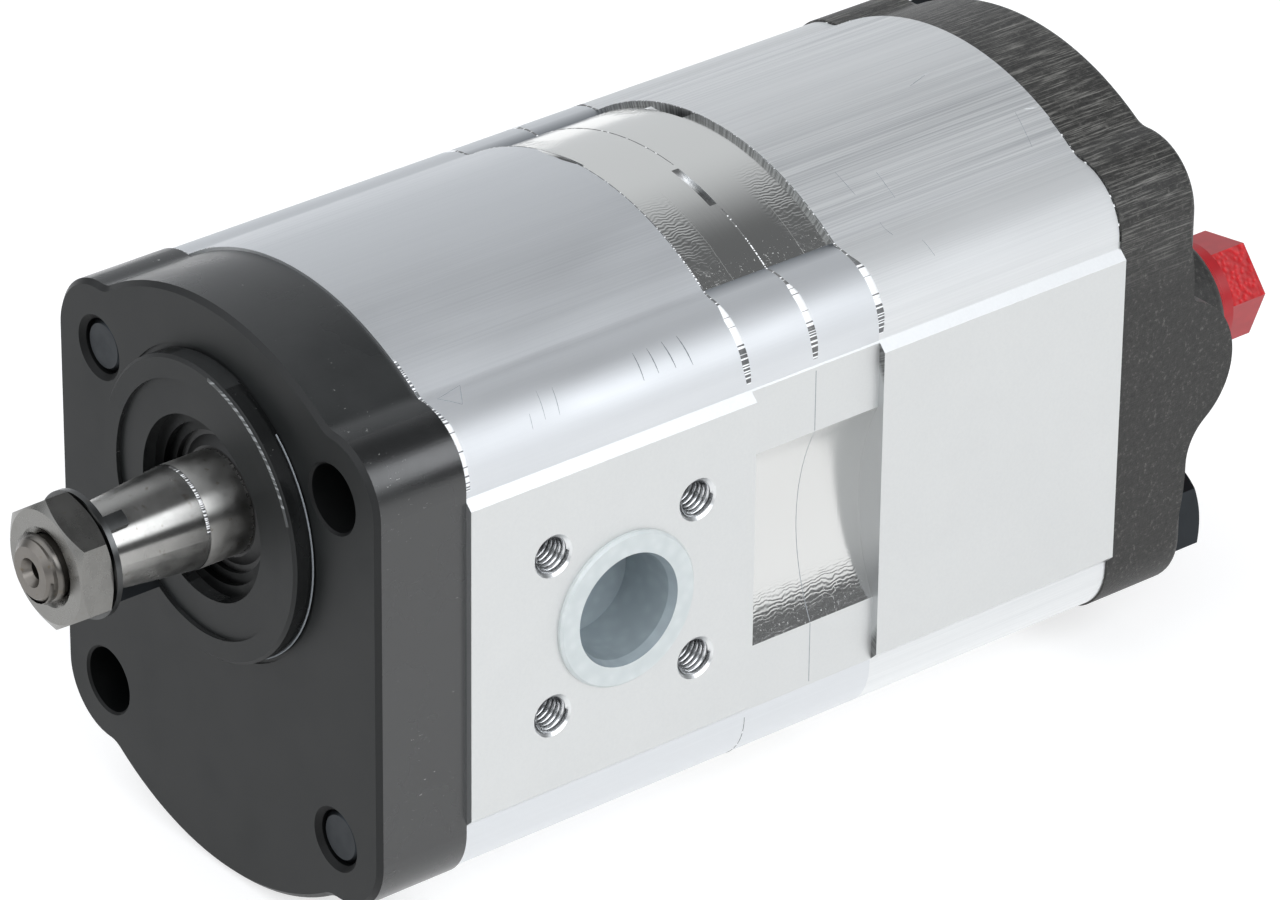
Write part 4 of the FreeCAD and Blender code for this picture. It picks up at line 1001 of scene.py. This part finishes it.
def thread_ridge(axis, origins, root, crest, pitch, length, name, finish, body="housing"):
    """A helical ridge: angle t climbs pitch * t / 2 pi along the axis, the triangle spans a pitch.

    Over the first and the last half turn the crest comes down to the root, so that the ridge
    closes. Its rims dip a little into the wall. In a hole the crest is nearer to the axis than
    the root, and there the faces are turned round, so that they look away from the wall.
    """
    axis = np.array(axis, float)
    first = np.cross(axis, (0, 0, 1.0) if abs(axis[2]) < 0.9 else (0, 1.0, 0))
    second = np.cross(axis, first)
    turns = length / pitch
    angle = np.linspace(0, 2 * math.pi * turns, int(STEPS_A_TURN * turns))[:, None]
    fade = np.clip(np.minimum(angle, angle[-1] - angle) / math.pi, 0, 1)
    wall = root + math.copysign(THREAD_DIP, root - crest)
    radius = np.concatenate([wall + 0 * fade, root + (crest - root) * fade, wall + 0 * fade], 1)
    climb = pitch * angle / (2 * math.pi) + np.array([[-THREAD_HALF, 0, THREAD_HALF]]) * pitch
    ring = np.cos(angle) * first + np.sin(angle) * second
    ridge = climb[..., None] * axis + radius[..., None] * ring[:, None]
    grids = [ridge + np.array(origin) for origin in origins]
    return build(name, grids, finish, body, flips=[crest < root] * len(origins))


def square_of_holes(x, bolt_circle):
    """The mouths of four holes on a circle, at the corners of an upright square."""
    half = bolt_circle / 2 / math.sqrt(2)
    return [(x, port_y + a * half, case_middle + b * half) for a in (-1, 1) for b in (-1, 1)]


thread_steel = steel("cut_thread_steel", "#6a6763", 0.28, 0.3, 0.003, 0.15)
thread_aluminium = steel("cut_thread_aluminium", "#d9dadb", 0.22, 0.3, 0.003, 0.0)
shaft_end = span("front_drive_shaft", 1)[0]
nut_front = span("shaft_nut", 1)[0]
thread_ridge((-1, 0, 0), square_of_holes(port_face - 0.45 * MM, 40 * MM), 3.0 * MM, 2.5 * MM,
             1.0 * MM, 11 * MM, "outlet_bolt_threads", thread_aluminium)
thread_ridge((1, 0, 0), square_of_holes(-port_face + 0.45 * MM, 55 * MM), 4.0 * MM, 3.4 * MM,
             1.25 * MM, 12 * MM, "inlet_bolt_threads", thread_aluminium)
thread_ridge((0, 1, 0), [(0, shaft_end + 0.75 * MM, 0)], 5.08 * MM, 5.95 * MM, 1.5 * MM,
             nut_front - shaft_end - 0.5 * MM, "shaft_end_thread", thread_steel,
             "drive_train")

# %% [markdown]
# Some marks run round the shaft's axis: a ring of chatter where the grinding wheel ran out, with
# painted glints on the side that faces the lamp, a painted highlight in broken patches on the
# pilot's rim, and a painted highlight along the root beside it. Each is a short profile turned
# about the axis, through part of a turn, and broken by the same steps. One more goes the whole way
# round, a smooth sleeve over the ground length beside the bore. The solid has long thin triangles
# there, which would break the smear of light into wedges.

# %% Marks round the shaft


def turned_band(name, profile, first, last, finish, body="housing"):
    """A profile of (radius, y) in millimetres turned about the Y axis between two angles.

    The angle is counted in degrees from +X towards +Z, and the way along runs over the arc.
    Angle and profile together make faces that look in, so all are turned round.
    """
    radius, y = np.array(profile).T * MM
    angle = np.radians(np.linspace(first, last, int(abs(last - first)) + 2))[:, None]
    grid = np.stack([radius * np.cos(angle), y + 0 * angle, radius * np.sin(angle)], -1)
    along = np.stack([np.abs(angle) * radius / OUTLINE_SCALE,
                      np.linspace(0, 1, len(y)) + 0 * angle], -1)
    return build(name, [grid], finish, body, along=[along], flips=[True])


# painted glints: white steps in the chatter ring, on the side that faces the lamp
chatter_glint_ring = stepped_edge_glints("chatter_glint_steel", "#565655", 0.3,
                              [(0, 0.3), (2.5, 0.7), (8, 0.7), (14, 0.2)])
# painted highlight: pale broken patches on the pilot's rim, on the side that faces the lamp
pilot_painted_highlight = stepped_edge_glints("pilot_painted_highlight_rim", "#454747", 0.8,
                           [(8, 0.3), (14, 0.65), (26, 0.7), (36, 0.3)], "#8d8f8f", 3.0)
# painted highlight: a light line where the pilot meets the flange
root_painted_highlight = scribed("bright_root_painted_highlight", "#6f7274")
turned_band("shaft_chatter_glint_ring", [(8.44, -7.5), (8.52, -7.35), (8.52, -7.0), (8.44, -6.85)],
            5, 100, chatter_glint_ring, "drive_train")
turned_band("shaft_run_out", [(8.46, -6.9), (8.515, -6.8), (8.515, -2.0), (8.515, 0.7),
                              (8.46, 0.8)],
            0, 360, run_out_steel, "drive_train")
turned_band("pilot_rim_painted_highlight", [(24.1, -3.36), (24.15, -3.43), (24.75, -3.43), (24.8, -3.36)],
            18, 82, pilot_painted_highlight)
turned_band("pilot_root_painted_highlight", [(24.98, -0.06), (25.0, -0.14), (25.12, -0.12), (25.2, 0.03)],
            -80, 50, root_painted_highlight)


def side_line(name, y, half_width, finish):
    """A thin upright line on the plates' flat side, down through the scallop.

    At a height z from the middle it lies at the flat, or at axis - sqrt(R^2 - z^2) where that is
    further in. Across it stand three points: low, high, low.
    """
    height = np.linspace(-28, 28, 113)[:, None] * MM
    axis = SCALLOP_RADIUS + SCALLOP_FLOOR
    x = np.minimum(plate_face, axis - np.sqrt(SCALLOP_RADIUS ** 2 - height ** 2))
    y_across = y + np.array([[-half_width, 0, half_width]]) * MM
    lift = np.array([[-0.02, 0.05, -0.02]]) * MM
    grid = np.stack([x + lift, y_across + 0 * height, case_middle + height + 0 * lift], -1)
    return build(name, [grid], finish, along=[grid[..., 1:] / OUTLINE_SCALE],
                 flips=[True])


faint_line = scribed("faint_joint_line", "#a2a5a7")
side_line("plate_joint_side_line", plate_joint, 0.12, faint_line)
